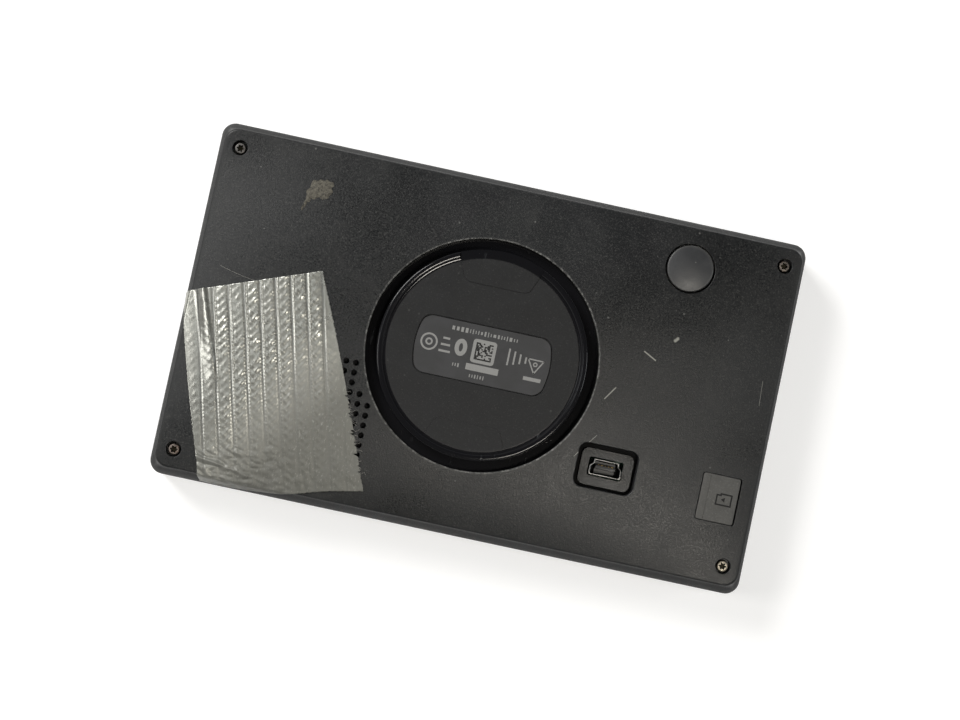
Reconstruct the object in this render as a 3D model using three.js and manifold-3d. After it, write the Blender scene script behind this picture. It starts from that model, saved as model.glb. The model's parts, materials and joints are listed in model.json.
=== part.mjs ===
// Portable GPS navigator, built as its separate pieces, in millimetres.
// The device lies on its screen: +Z points out of the rear cover, +X is right and +Y is up when
// looking at the rear, and the origin is under the middle of the case on the plane it rests on.

import * as THREE from 'three';
import { mergeVertices } from 'three/addons/utils/BufferGeometryUtils.js';
import Module from 'manifold-3d';

const wasm = await Module();
wasm.setup();

// ---- Driving dimensions ----

// Clearances
const seatGap = 0.2; // between pieces that rest on each other
const runGap = 0.3; // round a piece that moves, or beside a sloping face
const screwGap = 0.15; // round a screw's shank

// Case
const caseWidth = 140.3;
const caseHeight = 83.8;
const caseCorner = 3.2;
const partingHeight = 6.6; // where the bezel meets the rear cover
const edgeHeight = 16.5; // the rear cover's height at its rim
const domeRise = 4.0; // from the rim to the top of the dome
const shoulderStart = 9.5; // where the side walls begin to lean in
const shoulderInsetX = 1.7;
const shoulderInsetY = 2.2;
const coverWall = 1.8;
const bezelWall = 1.8;
const bezelRound = 1.0;
const tongueWall = 0.8; // of the bezel's tongue that closes the seam from inside
const tongueHeight = 1.0;

// Screen stack, counted up from the resting plane
const bezelBorderX = 14.8;
const bezelBorderY = 10.5;
const bezelLip = 1.6;
const gasketThickness = 0.4;
const gasketWidth = 2.6;
const panelThickness = 1.1;
const panelOverlap = 4.2; // of the touch panel behind the bezel's lip
const glassThickness = 1.2;
const glassOverlap = 3.4;
const backlightThickness = 2.0;

// Inner frame and main board
const frameThickness = 1.2;
const frameMargin = 1.6; // from the case's inner wall
const postHeight = 2.7;
const postRadius = 2.4;
const boardThickness = 1.2;
const boardLeft = -14;
const boardMarginY = 4.6; // from the case's outer edge
const boardScrewInset = 4.0; // from the board's edges

// Corner screws
const screwInsetX = 5.45;
const screwInsetY = 6.3;
const screwHeadRadius = 1.38;
const screwHeadHeight = 1.4;
const screwHeadSunk = 0.8; // below the cover's face at the screw
const screwShankRadius = 0.9;
const screwCounterbore = 1.78;
const bossWall = 1.3;
const bossHeight = 7.0;
const screwTipHeight = 3.2;
const socketRadius = 0.7;
const socketDepth = 0.8;

// Mount plate and its groove
const mountCentreY = 0.25;
const grooveRadius = 26.85;
const grooveFloor = 16.6;
const collarWall = 1.6;
const plateThickness = 1.2;
const grooveWidth = 3.85; // from the collar to the neck
const lipOverhang = 1.3; // of the lip past the neck
const lipWidth = 1.75;
const padTaper = 1.15; // from the lip's inner edge to where a pad reaches its full width
const lipTop = 20.9;
const lipThickness = 1.4;
const discFace = 20.3;
const discWall = 2.0;
const padHeight = 0.2;
const padWide = 9.85; // half width at the disc's edge
const padNarrow = 7.6; // half width nearest the label
const padReach = 15.85; // from the disc's centre to the pad's inner edge
const labelWidth = 31.9;
const labelHeight = 13.7;
const labelCorner = 2.0;
const labelEndRadius = 12.8;
const labelSunk = 0.6;
const labelThickness = 0.35;

// Power button and its switch
const buttonFromRight = 27.1;
const buttonFromTop = 11.75;
const buttonRadius = 5.4;
const buttonGap = 0.45;
const buttonCrown = 0.5;
const buttonFlange = 0.8; // its thickness, and how far it stands out past the cap
const buttonCollar = 1.2; // the cover's wall round the button
const buttonTravel = 0.45;
const switchSize = 6.2;
const switchHeight = 1.2;
const plungerRise = 0.8; // of the plunger above the switch
const plungerRadius = 1.7;

// Mini-B socket in its recess
const usbFromRight = 36.8;
const usbFromBottom = 22.6;
const usbRecessWidth = 14.0;
const usbRecessHeight = 10.25;
const usbRecessDepth = 2.6;
const usbRecessCorner = 2.0;
const usbWidth = 7.5;
const usbHeight = 3.8;
const usbStand = 0.8; // of the shell above the recess floor
const usbShellWall = 0.3;
const usbTongueWidth = 4.7;
const usbTongueThickness = 0.9;

// Memory-card recess, flap and socket
const flapFromRight = 5.05;
const flapFromBottom = 21.3; // to the flap's middle
const flapWidth = 9.4;
const flapHeight = 11.2;
const flapThickness = 1.2;
const flapSunk = 0.15;
const cardWidth = 11.0;
const cardThickness = 0.7;
const cardRise = 0.4; // of the card above the socket's foot
const cardSocketLength = 14.0;
const cardSocketWidth = 14.4;
const cardSocketHeight = 2.0;
const cardSocketSheet = 0.25;
const cardTravel = 1.3;
const wellWall = 1.2;

// Speaker and grille
const grilleLeft = 24.0; // from the case's left side to the first column
const grilleBottom = 11.5; // from the case's lower side to the last row
const grillePitch = 2.285;
const grilleCount = 11;
const grilleHole = 0.64;
const grilleSides = 4;
const grilleClear = 28.1; // of the mount's centre
const speakerRadius = 11.2;
const speakerHeight = 5.2;
const speakerWall = 1.2;
const speakerTravel = 0.3;
const magnetRadius = 6.5;
const magnetHeight = 2.2;
const gasketRingWidth = 1.8;
const gasketRingHeight = 0.8;
const clothThickness = 0.3;

// Electronics
const shieldHeight = 1.8;
const shieldSheet = 0.25;
const batteryWidth = 42;
const batteryHeight = 36;
const batteryFence = 2.0; // outside the battery, and its height
const batteryFromTop = 5.0; // below the board's upper edge
const batteryThickness = 5.5;
const batteryStep = 2.5; // the lower ledge that the leads come out of
const antennaSize = 15;
const antennaGap = 0.15; // from its side to the power button
const antennaThickness = 2.6;
const connectorHeight = 1.6;
const ribbonThickness = 0.2;
const wireRadius = 0.45;

// Tape patch on the lower left of the rear cover
const tapeThickness = 0.4;
const tapeLift = 0.15;
const tapeWrap = 14.0; // the height that its turned-over edge comes down to

// ---- Sizes worked out from them ----

const halfWidth = caseWidth / 2;
const halfHeight = caseHeight / 2;
const neckRadius = grooveRadius - grooveWidth;
const lipRadius = neckRadius + lipOverhang;
const lipInner = lipRadius - lipWidth;
const padShoulder = lipInner - padTaper;
const gasketBottom = bezelLip + seatGap;
const panelBottom = gasketBottom + gasketThickness + seatGap;
const glassBottom = panelBottom + panelThickness + seatGap;
const backlightBottom = glassBottom + glassThickness + seatGap;
const frameBottom = backlightBottom + backlightThickness + seatGap;
const frameTop = frameBottom + frameThickness;
const boardBottom = frameTop + postHeight + seatGap;
const boardTop = boardBottom + boardThickness;
const partsBottom = boardTop + seatGap;
const windowWidth = caseWidth - 2 * bezelBorderX;
const windowHeight = caseHeight - 2 * bezelBorderY;
const cornerX = halfWidth - screwInsetX;
const cornerY = halfHeight - screwInsetY;
const buttonX = halfWidth - buttonFromRight;
const buttonY = halfHeight - buttonFromTop;
const buttonReach = buttonRadius + buttonGap + buttonFlange;
const usbX = halfWidth - usbFromRight;
const usbY = usbFromBottom - halfHeight;
const flapRight = halfWidth - flapFromRight;
const flapLeft = flapRight - flapWidth;
const flapY = flapFromBottom - halfHeight;
const cardFloor = partsBottom + cardRise;
const socketRight = flapLeft - wellWall - runGap;
const boardRight = socketRight;
const grilleMiddle = ((grilleCount - 1) / 2) * grillePitch;
const speakerX = grilleLeft + grilleMiddle - halfWidth;
const speakerY = grilleBottom + grilleMiddle - halfHeight;

// ---- Shape helpers ----

const coarse = 12;
const medium = 24;
const fine = 48;

/** Turns a closed three.js geometry into a solid that can be joined and cut. */
function solid(geometry) {
  const bare = geometry.clone();
  bare.deleteAttribute('normal');
  bare.deleteAttribute('uv');
  const merged = mergeVertices(bare, 1e-4);
  return new wasm.Manifold(new wasm.Mesh({
    numProp: 3,
    vertProperties: new Float32Array(merged.attributes.position.array),
    triVerts: new Uint32Array(merged.index.array),
  }));
}

/** Turns a solid back into a geometry. */
function geometryOf(body) {
  const mesh = body.getMesh();
  const geometry = new THREE.BufferGeometry();
  geometry.setAttribute('position', new THREE.BufferAttribute(mesh.vertProperties, 3));
  geometry.setIndex(new THREE.BufferAttribute(mesh.triVerts, 1));
  geometry.computeVertexNormals();
  return geometry;
}

/** A rectangle with round corners, centred on x, y. */
function roundedRectangle(width, height, radius, x = 0, y = 0) {
  const w = width / 2;
  const h = height / 2;
  const quarter = Math.PI / 2;
  const shape = new THREE.Shape();
  shape.absarc(x + w - radius, y + h - radius, radius, 0, quarter);
  shape.absarc(x - w + radius, y + h - radius, radius, quarter, 2 * quarter);
  shape.absarc(x - w + radius, y - h + radius, radius, 2 * quarter, 3 * quarter);
  shape.absarc(x + w - radius, y - h + radius, radius, 3 * quarter, 4 * quarter);
  shape.closePath();
  return shape;
}

/** A flat shape carried from one height to another. */
function prism(shape, bottom, top, curveSegments = 4) {
  const settings = { depth: top - bottom, bevelEnabled: false, curveSegments };
  return solid(new THREE.ExtrudeGeometry(shape, settings).translate(0, 0, bottom));
}

/** A plate with round corners. */
function plate(width, height, radius, x, y, bottom, top) {
  return prism(roundedRectangle(width, height, radius, x, y), bottom, top);
}

/** A block between two corners. */
function block(left, right, near, far, bottom, top) {
  const geometry = new THREE.BoxGeometry(right - left, far - near, top - bottom);
  geometry.translate((left + right) / 2, (near + far) / 2, (bottom + top) / 2);
  return solid(geometry);
}

/** An upright round bar. */
function round(x, y, radius, bottom, top, sides = medium) {
  const geometry = new THREE.CylinderGeometry(radius, radius, top - bottom, sides);
  geometry.rotateX(Math.PI / 2).translate(x, y, (bottom + top) / 2);
  return solid(geometry);
}

/** A turned piece from radius and height pairs that start and end on its axis. */
function turned(profile, x, y, sides = medium) {
  const points = profile.map(([radius, height]) => new THREE.Vector2(radius, height));
  const geometry = new THREE.LatheGeometry(points, sides).rotateX(Math.PI / 2);
  return solid(geometry.translate(x, y, 0));
}

/** A profile in the plane of Y and Z carried from one x to another. */
function sideways(points, left, right) {
  const shape = new THREE.Shape(points.map(([y, z]) => new THREE.Vector2(y, z)));
  const settings = { depth: right - left, bevelEnabled: false };
  const geometry = new THREE.ExtrudeGeometry(shape, settings);
  geometry.rotateY(Math.PI / 2).rotateX(Math.PI / 2).translate(left, 0, 0);
  return solid(geometry);
}

/** A profile in the plane of X and Z carried from one y to another. */
function lengthways(points, near, far) {
  const shape = new THREE.Shape(points.map(([x, z]) => new THREE.Vector2(x, z)));
  const geometry = new THREE.ExtrudeGeometry(shape, { depth: far - near, bevelEnabled: false });
  geometry.rotateX(Math.PI / 2).translate(0, far, 0);
  return solid(geometry);
}

/** A round wire along chosen points. */
function wire(points, radius) {
  const curve = new THREE.CatmullRomCurve3(points.map((point) => new THREE.Vector3(...point)));
  const section = new THREE.Shape().absarc(0, 0, radius, 0, 2 * Math.PI);
  const settings = { steps: 10, extrudePath: curve, bevelEnabled: false, curveSegments: 6 };
  return solid(new THREE.ExtrudeGeometry(section, settings));
}

function joined(...bodies) {
  return bodies.reduce((whole, body) => whole.add(body));
}

function cut(body, ...tools) {
  return tools.reduce((rest, tool) => rest.subtract(tool), body);
}

// ---- The case's outer form ----

/** The height of the domed rear face over a place on the case. */
function rearFace(x, y) {
  const across = 1 - Math.min(1, Math.abs(x / halfWidth)) ** 3;
  const along = 1 - Math.min(1, Math.abs(y / halfHeight)) ** 3;
  return edgeHeight + domeRise * across * along;
}

/** The case's outline with leaning shoulders, grown or shrunk all round. */
function shoulderBlock(grow, bottom) {
  const corner = Math.max(0.4, caseCorner + grow);
  const outline = roundedRectangle(caseWidth + 2 * grow, caseHeight + 2 * grow, corner);
  const layers = [bottom, shoulderStart, 0, 0, 0, 0, lipTop + 4];
  const leanLayers = 4;
  for (let i = 1; i <= leanLayers; i++) {
    layers[1 + i] = shoulderStart + ((edgeHeight + grow - shoulderStart) * i) / leanLayers;
  }
  const settings = { depth: layers.length - 1, steps: layers.length - 1, bevelEnabled: false };
  const geometry = new THREE.ExtrudeGeometry(outline, { ...settings, curveSegments: 5 });
  const position = geometry.attributes.position;
  for (let i = 0; i < position.count; i++) {
    const height = layers[Math.round(position.getZ(i))];
    const lean = (height - shoulderStart) / (edgeHeight + grow - shoulderStart);
    const share = Math.min(1, Math.max(0, lean)) ** 2;
    const x = position.getX(i) * (1 - (share * shoulderInsetX) / halfWidth);
    const y = position.getY(i) * (1 - (share * shoulderInsetY) / halfHeight);
    position.setXYZ(i, x, y, height);
  }
  return solid(geometry);
}

/** Everything under the domed rear face, moved up or down by grow. */
function domeBlock(grow, bottom) {
  const margin = 4;
  const columns = 16;
  const rows = 10;
  const size = [caseWidth + 2 * margin, caseHeight + 2 * margin, 2];
  const geometry = new THREE.BoxGeometry(...size, columns, rows, 1);
  const position = geometry.attributes.position;
  for (let i = 0; i < position.count; i++) {
    const top = rearFace(position.getX(i), position.getY(i)) + grow;
    position.setZ(i, position.getZ(i) > 0 ? top : bottom);
  }
  return solid(geometry);
}

/** The case's rear form, grown or shrunk, from a height up. */
function rearForm(grow, bottom) {
  return shoulderBlock(grow, bottom).intersect(domeBlock(grow, bottom - 1));
}

const outerForm = rearForm(0, partingHeight + seatGap);
const innerForm = rearForm(-coverWall, partingHeight);

const corners = [[-1, 1], [1, 1], [-1, -1], [1, -1]].map(([x, y]) => [x * cornerX, y * cornerY]);
const screwSeat = rearFace(cornerX, cornerY) - screwHeadSunk - screwHeadHeight;
const coverBossBottom = frameTop + seatGap;

// ---- Front ----

function frontBezel() {
  const settings = {
    depth: partingHeight - bezelRound,
    bevelThickness: bezelRound,
    bevelSize: bezelRound,
    bevelOffset: -bezelRound,
    bevelSegments: 3,
    curveSegments: 5,
  };
  const outline = roundedRectangle(caseWidth, caseHeight, caseCorner);
  const rounded = solid(new THREE.ExtrudeGeometry(outline, settings).translate(0, 0, bezelRound));
  const trim = block(-halfWidth, halfWidth, -halfHeight, halfHeight, 0, partingHeight);
  const inside = plate(
    caseWidth - 2 * bezelWall, caseHeight - 2 * bezelWall, caseCorner - bezelWall,
    0, 0, bezelLip, partingHeight + 1,
  );
  const opening = plate(windowWidth, windowHeight, 0.8, 0, 0, -1, bezelLip + 1);
  const reach = coverWall + seatGap;
  const tongueSize = [caseWidth - 2 * reach, caseHeight - 2 * reach, caseCorner - reach];
  const hollow = [tongueSize[0] - 2 * tongueWall, tongueSize[1] - 2 * tongueWall, 0.5];
  const tongueTop = partingHeight + tongueHeight;
  const tongue = plate(...tongueSize, 0, 0, bezelLip, tongueTop);
  let body = cut(rounded.intersect(trim), inside);
  body = body.add(tongue.subtract(plate(...hollow, 0, 0, bezelLip, tongueTop + 1))).subtract(opening);
  for (const [x, y] of corners) {
    body = body.add(round(x, y, screwShankRadius + bossWall, bezelLip - 0.5, bossHeight, coarse));
  }
  for (const [x, y] of corners) {
    const pilot = screwShankRadius + screwGap;
    body = body.subtract(round(x, y, pilot, screwTipHeight - seatGap, bossHeight + 1, coarse));
  }
  return body;
}

function panelGasket() {
  const width = windowWidth + 2 * panelOverlap - 1;
  const height = windowHeight + 2 * panelOverlap - 1;
  const top = gasketBottom + gasketThickness;
  const outer = plate(width, height, 1, 0, 0, gasketBottom, top);
  const inner = [width - 2 * gasketWidth, height - 2 * gasketWidth];
  return outer.subtract(plate(...inner, 0.6, 0, 0, gasketBottom - 1, top + 1));
}

/** A sheet of the screen stack that overlaps the bezel's window all round. */
function screenSheet(overlap, bottom, thickness, corner) {
  const size = [windowWidth + 2 * overlap, windowHeight + 2 * overlap];
  return plate(...size, corner, 0, 0, bottom, bottom + thickness);
}

/** The backlight's shallow metal tray with its rolled stiffening step. */
function backlight() {
  const tray = screenSheet(glassOverlap, backlightBottom, backlightThickness, 0.8);
  const step = 4;
  const size = [windowWidth + 2 * glassOverlap - 2 * step, windowHeight + 2 * glassOverlap - 2 * step];
  const top = backlightBottom + backlightThickness;
  return tray.subtract(plate(...size, 2, 0, 0, top - 0.4, top + 1));
}

// ---- Inner frame ----

const frameWidth = caseWidth - 2 * coverWall - 2 * frameMargin;
const frameHeight = caseHeight - 2 * coverWall - 2 * frameMargin;
const boardFar = halfHeight - boardMarginY;
const boardNear = -boardFar;
const batteryX = boardLeft - 4 - batteryWidth / 2;
const batteryY = boardFar - batteryHeight / 2 - batteryFromTop;
const batteryBottom = frameTop + seatGap;
const ribbonY = -(windowHeight / 2 + panelOverlap);
const boardPosts = [
  [boardLeft + boardScrewInset, boardFar - boardScrewInset],
  [boardRight - boardScrewInset, boardFar - boardScrewInset],
  [boardLeft + boardScrewInset, boardNear + boardScrewInset],
  [boardRight - boardScrewInset, boardNear + boardScrewInset],
];
const tailSlots = { display: [-2, 20], touch: [24, 8] }; // left edge and width of each tail

function innerFrame() {
  let body = plate(frameWidth, frameHeight, 2.5, 0, 0, frameBottom, frameTop);
  for (const [x, y] of boardPosts) {
    body = body.add(round(x, y, postRadius, frameTop - 0.5, frameTop + postHeight, coarse));
  }
  const fenceTop = frameTop + batteryFence;
  const fenceSize = [batteryWidth + 2 * batteryFence, batteryHeight + 2 * batteryFence, 2];
  const fence = plate(...fenceSize, batteryX, batteryY, frameTop - 0.5, fenceTop);
  const bay = [batteryWidth + 4 * runGap, batteryHeight + 4 * runGap, 1.2, batteryX, batteryY];
  body = body.add(fence).subtract(plate(...bay, frameTop, fenceTop + 1));
  const leadExit = [batteryX + batteryWidth / 2, boardLeft, batteryY - 5, batteryY + 5];
  body = body.subtract(block(...leadExit, frameTop, fenceTop + 1));
  for (const [left, width] of Object.values(tailSlots)) {
    const slot = [left - 1, left + width + 1, ribbonY - 2.4, ribbonY - 0.6];
    body = body.subtract(block(...slot, frameBottom - 1, frameTop + 1));
  }
  for (const [x, y] of boardPosts) {
    const pilot = [x, y, screwShankRadius * 0.8 + screwGap];
    body = body.subtract(round(...pilot, frameTop + 0.4, frameTop + postHeight + 1, 8));
  }
  for (const [x, y] of corners) {
    const pass = screwShankRadius + 2 * screwGap;
    body = body.subtract(round(x, y, pass, frameBottom - 1, frameTop + 1, coarse));
  }
  const magnetPass = [speakerX, speakerY, magnetRadius + 1];
  return body.subtract(round(...magnetPass, frameBottom - 1, frameTop + 1));
}

// ---- Main board and what it carries ----

function mainBoard() {
  const middleX = (boardLeft + boardRight) / 2;
  const size = [boardRight - boardLeft, boardFar - boardNear];
  let body = plate(...size, 2, middleX, 0, boardBottom, boardTop);
  for (const [x, y] of boardPosts) {
    const hole = [x, y, screwShankRadius + screwGap];
    body = body.subtract(round(...hole, boardBottom - 1, boardTop + 1, coarse));
  }
  return body;
}

/** A pressed metal can, open below, with a few cooling holes. */
function shieldCan(x, y, width, height) {
  const top = partsBottom + shieldHeight;
  const outer = plate(width, height, 0.8, x, y, partsBottom, top);
  const inner = [width - 2 * shieldSheet, height - 2 * shieldSheet, 0.5, x, y];
  let body = outer.subtract(plate(...inner, partsBottom - 1, top - shieldSheet));
  for (const [i, j] of [[-1, -1], [1, -1], [-1, 1], [1, 1]]) {
    const hole = [x + (i * width) / 4, y + (j * height) / 4, 0.8];
    body = body.subtract(round(...hole, top - 1, top + 1, 8));
  }
  return body;
}

function chip(x, y, width, height, thickness) {
  return plate(width, height, 0.3, x, y, partsBottom, partsBottom + thickness);
}

const antennaX = buttonX - buttonReach - antennaGap - antennaSize / 2;
const antennaY = boardFar - antennaSize / 2 - 0.6;

/** The ceramic patch: a chamfered corner sets its polarisation, a pin feeds it off centre. */
function antenna() {
  const top = partsBottom + antennaThickness;
  const ceramic = plate(antennaSize, antennaSize, 0.5, antennaX, antennaY, partsBottom, top);
  const silver = new THREE.Shape([
    new THREE.Vector2(-5.5, -5.5), new THREE.Vector2(5.5, -5.5), new THREE.Vector2(5.5, 4),
    new THREE.Vector2(4, 5.5), new THREE.Vector2(-5.5, 5.5),
  ]);
  const patch = prism(silver, top - 0.3, top + 0.1).translate([antennaX, antennaY, 0]);
  return joined(ceramic, patch, round(antennaX + 1.6, antennaY, 0.6, top - 0.3, top + 0.25, 8));
}

const cpuX = boardLeft + 18;
const cpuY = -4;
const cpuShield = [cpuX, cpuY, 24, 26];
const rfShield = [cpuX + 22, 4, 14, 18];
const displayConnector = { y: ribbonY + 5.2, depth: 3.4 };

/** A flat socket under the board that a screen tail pushes into. */
function tailConnector([left, width]) {
  const top = boardBottom - seatGap;
  const { y, depth } = displayConnector;
  const right = left + width;
  const shell = [left - 0.8, right + 0.8, y - depth / 2, y + depth / 2, top - connectorHeight, top];
  const mouth = top - connectorHeight / 2;
  const half = ribbonThickness / 2 + screwGap;
  const slot = [left - seatGap, right + seatGap, y - depth, y + 0.6, mouth - half, mouth + half];
  return block(...shell).subtract(block(...slot));
}

/** A flat flexible tail from a screen sheet's lower edge, up through the frame, to its socket. */
function tail([left, width], start, startHeight) {
  const entry = boardBottom - seatGap - connectorHeight / 2;
  const outside = ribbonY - 1.5;
  const half = ribbonThickness / 2;
  const end = displayConnector.y;
  const lower = startHeight - half;
  const upper = entry + half;
  return sideways([
    [start, lower], [outside - half, lower], [outside - half, upper], [end, upper],
    [end, entry - half], [outside + half, entry - half], [outside + half, startHeight + half],
    [start, startHeight + half],
  ], left, left + width);
}

// ---- Battery ----

const plugX = boardLeft + 5;
const plugY = batteryY;

function battery() {
  const top = batteryBottom + batteryThickness;
  const cell = plate(batteryWidth, batteryHeight, 2, batteryX, batteryY, batteryBottom, top);
  const ledge = batteryHeight / 2 - 2;
  const end = batteryX + batteryWidth / 2;
  const step = [end - batteryStep, end + 1, batteryY - ledge, batteryY + ledge, top - 1.5, top + 1];
  return cell.subtract(block(...step));
}

function batterySocket() {
  const low = partsBottom;
  const body = block(plugX - 2, plugX + 2.6, plugY - 3.6, plugY + 3.6, low, low + 2.4);
  return body.subtract(block(plugX - 3, plugX + 1.8, plugY - 2.8, plugY + 2.8, low + 0.5, low + 3));
}

function batteryPlug() {
  const low = partsBottom + 0.5 + seatGap;
  return block(plugX - 2, plugX + 1.6, plugY - 2.6, plugY + 2.6, low, low + 1.6);
}

/** A pair of leads from one place to another, side by side. */
function lead(from, to, offset) {
  const [x0, y0, z0] = from;
  const [x1, y1, z1] = to;
  const span = x1 - x0;
  return wire([
    [x0, y0 + offset, z0], [x0 + span * 0.3, y0 + offset, z0],
    [x0 + span * 0.7, y1 + offset, z1], [x1, y1 + offset, z1],
  ], wireRadius);
}

const batteryExit = [
  batteryX + batteryWidth / 2 - batteryStep + runGap, batteryY, batteryBottom + batteryThickness - 0.8,
];
const batteryEntry = [plugX - 2 - seatGap, plugY, partsBottom + 1.5];

// ---- Speaker ----

const speakerRoof = innerHeight(speakerX, speakerY, speakerRadius);
const speakerFace = speakerRoof - gasketRingHeight - seatGap - clothThickness;
const speakerBottom = speakerFace - speakerHeight;

/** The lowest height of the cover's inner face over a round area. */
function innerHeight(x, y, radius) {
  const samples = [];
  for (let i = 0; i < 16; i++) {
    const angle = (i / 16) * 2 * Math.PI;
    samples.push(rearFace(x + radius * Math.cos(angle), y + radius * Math.sin(angle)));
  }
  return Math.min(...samples) - coverWall - seatGap;
}

function speakerBasket() {
  const inner = speakerRadius - speakerWall;
  const outer = round(speakerX, speakerY, speakerRadius, speakerBottom, speakerFace, 32);
  const bowl = turned([
    [0, speakerBottom + speakerWall], [magnetRadius, speakerBottom + speakerWall],
    [inner, speakerFace - 1.6], [inner, speakerFace + 1], [0, speakerFace + 1],
  ], speakerX, speakerY, 32);
  let body = outer.subtract(bowl);
  for (let i = 0; i < 4; i++) {
    const angle = (i / 4 + 1 / 8) * 2 * Math.PI;
    const x = speakerX + (magnetRadius + 3) * Math.cos(angle);
    const y = speakerY + (magnetRadius + 3) * Math.sin(angle);
    body = body.subtract(round(x, y, 1.6, speakerBottom - 1, speakerFace, 8));
  }
  return body;
}

function speakerMagnet() {
  const top = speakerBottom - seatGap;
  return turned([
    [0, top - magnetHeight], [magnetRadius - 0.4, top - magnetHeight],
    [magnetRadius, top - magnetHeight + 0.4], [magnetRadius, top], [0, top],
  ], speakerX, speakerY);
}

/** The cone: a dust dome, a paper cone and a rolled surround, one skin. */
function speakerCone() {
  const rim = speakerRadius - speakerWall - runGap;
  const face = speakerFace - speakerTravel - 0.2;
  const skin = 0.35;
  const top = [
    [0, face - 0.9], [3.5, face - 1.5], [4.2, face - 1.9],
    [rim - 3, face - 0.6], [rim - 1.5, face], [rim, face - 0.4],
  ];
  const under = top.map(([radius, height]) => [radius, height - skin]);
  return turned([...under, ...top.reverse()], speakerX, speakerY, medium);
}

function speakerGasket() {
  const bottom = speakerFace + seatGap;
  const top = bottom + gasketRingHeight - seatGap;
  const ring = round(speakerX, speakerY, speakerRadius - 0.2, bottom, top, 32);
  const inner = speakerRadius - gasketRingWidth;
  return ring.subtract(round(speakerX, speakerY, inner, bottom - 1, top + 1, 32));
}

/** The dust cloth behind the grille holes, following the cover's inner face. */
function grilleCloth() {
  const size = 2 * grilleMiddle + 4;
  const outline = roundedRectangle(size, size, 2, speakerX, speakerY);
  const column = prism(outline, partsBottom, lipTop);
  const clear = round(0, mountCentreY, grooveRadius + collarWall + runGap, 0, lipTop + 5, fine);
  const upper = domeBlock(-coverWall - 0.1, 0);
  const lower = domeBlock(-coverWall - 0.1 - clothThickness, -1);
  return column.intersect(upper).subtract(lower).subtract(clear);
}

// ---- Rear cover ----

/** The places of the grille's holes: a square pattern that stops short of the mount's groove. */
function grillePlaces() {
  const places = [];
  for (let row = 0; row < grilleCount; row++) {
    for (let column = 0; column < grilleCount; column++) {
      const x = grilleLeft + column * grillePitch - halfWidth;
      const y = grilleBottom + row * grillePitch - halfHeight;
      if (Math.hypot(x, y - mountCentreY) >= grilleClear + grilleHole) places.push([x, y]);
    }
  }
  return places;
}

const buttonTop = rearFace(buttonX, buttonY);
const plungerTop = partsBottom + switchHeight + plungerRise;
const buttonSeat = plungerTop + buttonFlange + seatGap + buttonTravel;
const usbFloor = rearFace(usbX, usbY) - usbRecessDepth;
const usbWell = [usbRecessWidth + 2 * wellWall, usbRecessHeight + 2 * wellWall, usbRecessCorner + wellWall];
const flapShallow = rearFace(flapRight, flapY) - flapThickness - 0.3;

/** The ramp of the card recess, in the plane of X and Z, lowered and widened by a wall. */
function cardRamp(wall) {
  const right = flapRight + wall;
  return [
    [flapLeft - wall, cardFloor - wall], [flapLeft + 1.2, cardFloor - wall], [right, flapShallow - wall],
    [right, lipTop + 4], [flapLeft - wall, lipTop + 4],
  ];
}

function rearCover() {
  let body = outerForm.subtract(innerForm);
  const screwBoss = screwCounterbore + bossWall;
  const inside = [
    ...corners.map(([x, y]) => round(x, y, screwBoss, coverBossBottom, lipTop, 16)),
    round(0, mountCentreY, grooveRadius + collarWall, grooveFloor + seatGap, lipTop, fine),
    round(buttonX, buttonY, buttonReach + buttonCollar, buttonSeat, lipTop, medium),
    plate(...usbWell, usbX, usbY, usbFloor - wellWall, lipTop),
    lengthways(cardRamp(wellWall), flapY - flapHeight / 2 - wellWall, flapY + flapHeight / 2 + wellWall),
  ];
  const within = rearForm(0, partingHeight + seatGap);
  for (const piece of inside) body = body.add(piece.intersect(within));
  for (const [x, y] of corners) {
    body = body.subtract(round(x, y, screwCounterbore, screwSeat, lipTop + 1, 16));
    body = body.subtract(round(x, y, screwShankRadius + 2 * screwGap, 0, lipTop, 8));
  }
  body = cut(
    body,
    round(0, mountCentreY, grooveRadius, 0, lipTop + 1, fine),
    round(buttonX, buttonY, buttonRadius + buttonGap, 0, lipTop + 1, medium),
    round(buttonX, buttonY, buttonReach + runGap, 0, buttonSeat, medium),
    plate(usbRecessWidth, usbRecessHeight, usbRecessCorner, usbX, usbY, usbFloor, lipTop + 1),
    block(
      usbX - usbWidth / 2 - runGap, usbX + usbWidth / 2 + runGap,
      usbY - usbHeight / 2 - runGap, usbY + usbHeight / 2 + runGap, 0, lipTop,
    ),
    lengthways(cardRamp(0), flapY - flapHeight / 2, flapY + flapHeight / 2),
    block(
      flapLeft - 2 * wellWall, flapLeft + 1, flapY - cardWidth / 2 - 0.1, flapY + cardWidth / 2 + 0.1,
      cardFloor, cardFloor + cardThickness + 0.5,
    ),
  );
  for (const [x, y] of grillePlaces()) {
    body = body.subtract(round(x, y, grilleHole, speakerFace, lipTop, grilleSides));
  }
  return body;
}

// ---- Mount plate and label ----

function padOutline(side) {
  const y = side * padReach + mountCentreY;
  const edge = side * (lipRadius + 1) + mountCentreY;
  const chamfer = 1.2;
  const points = [
    [padNarrow - chamfer, y], [padNarrow, y + side * 0.6], [padWide, side * padShoulder + mountCentreY],
    [padWide, edge], [-padWide, edge], [-padWide, side * padShoulder + mountCentreY],
    [-padNarrow, y + side * 0.6], [-padNarrow + chamfer, y],
  ].map(([x, height]) => new THREE.Vector2(x, height));
  return new THREE.Shape(side > 0 ? points : points.reverse());
}

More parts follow.
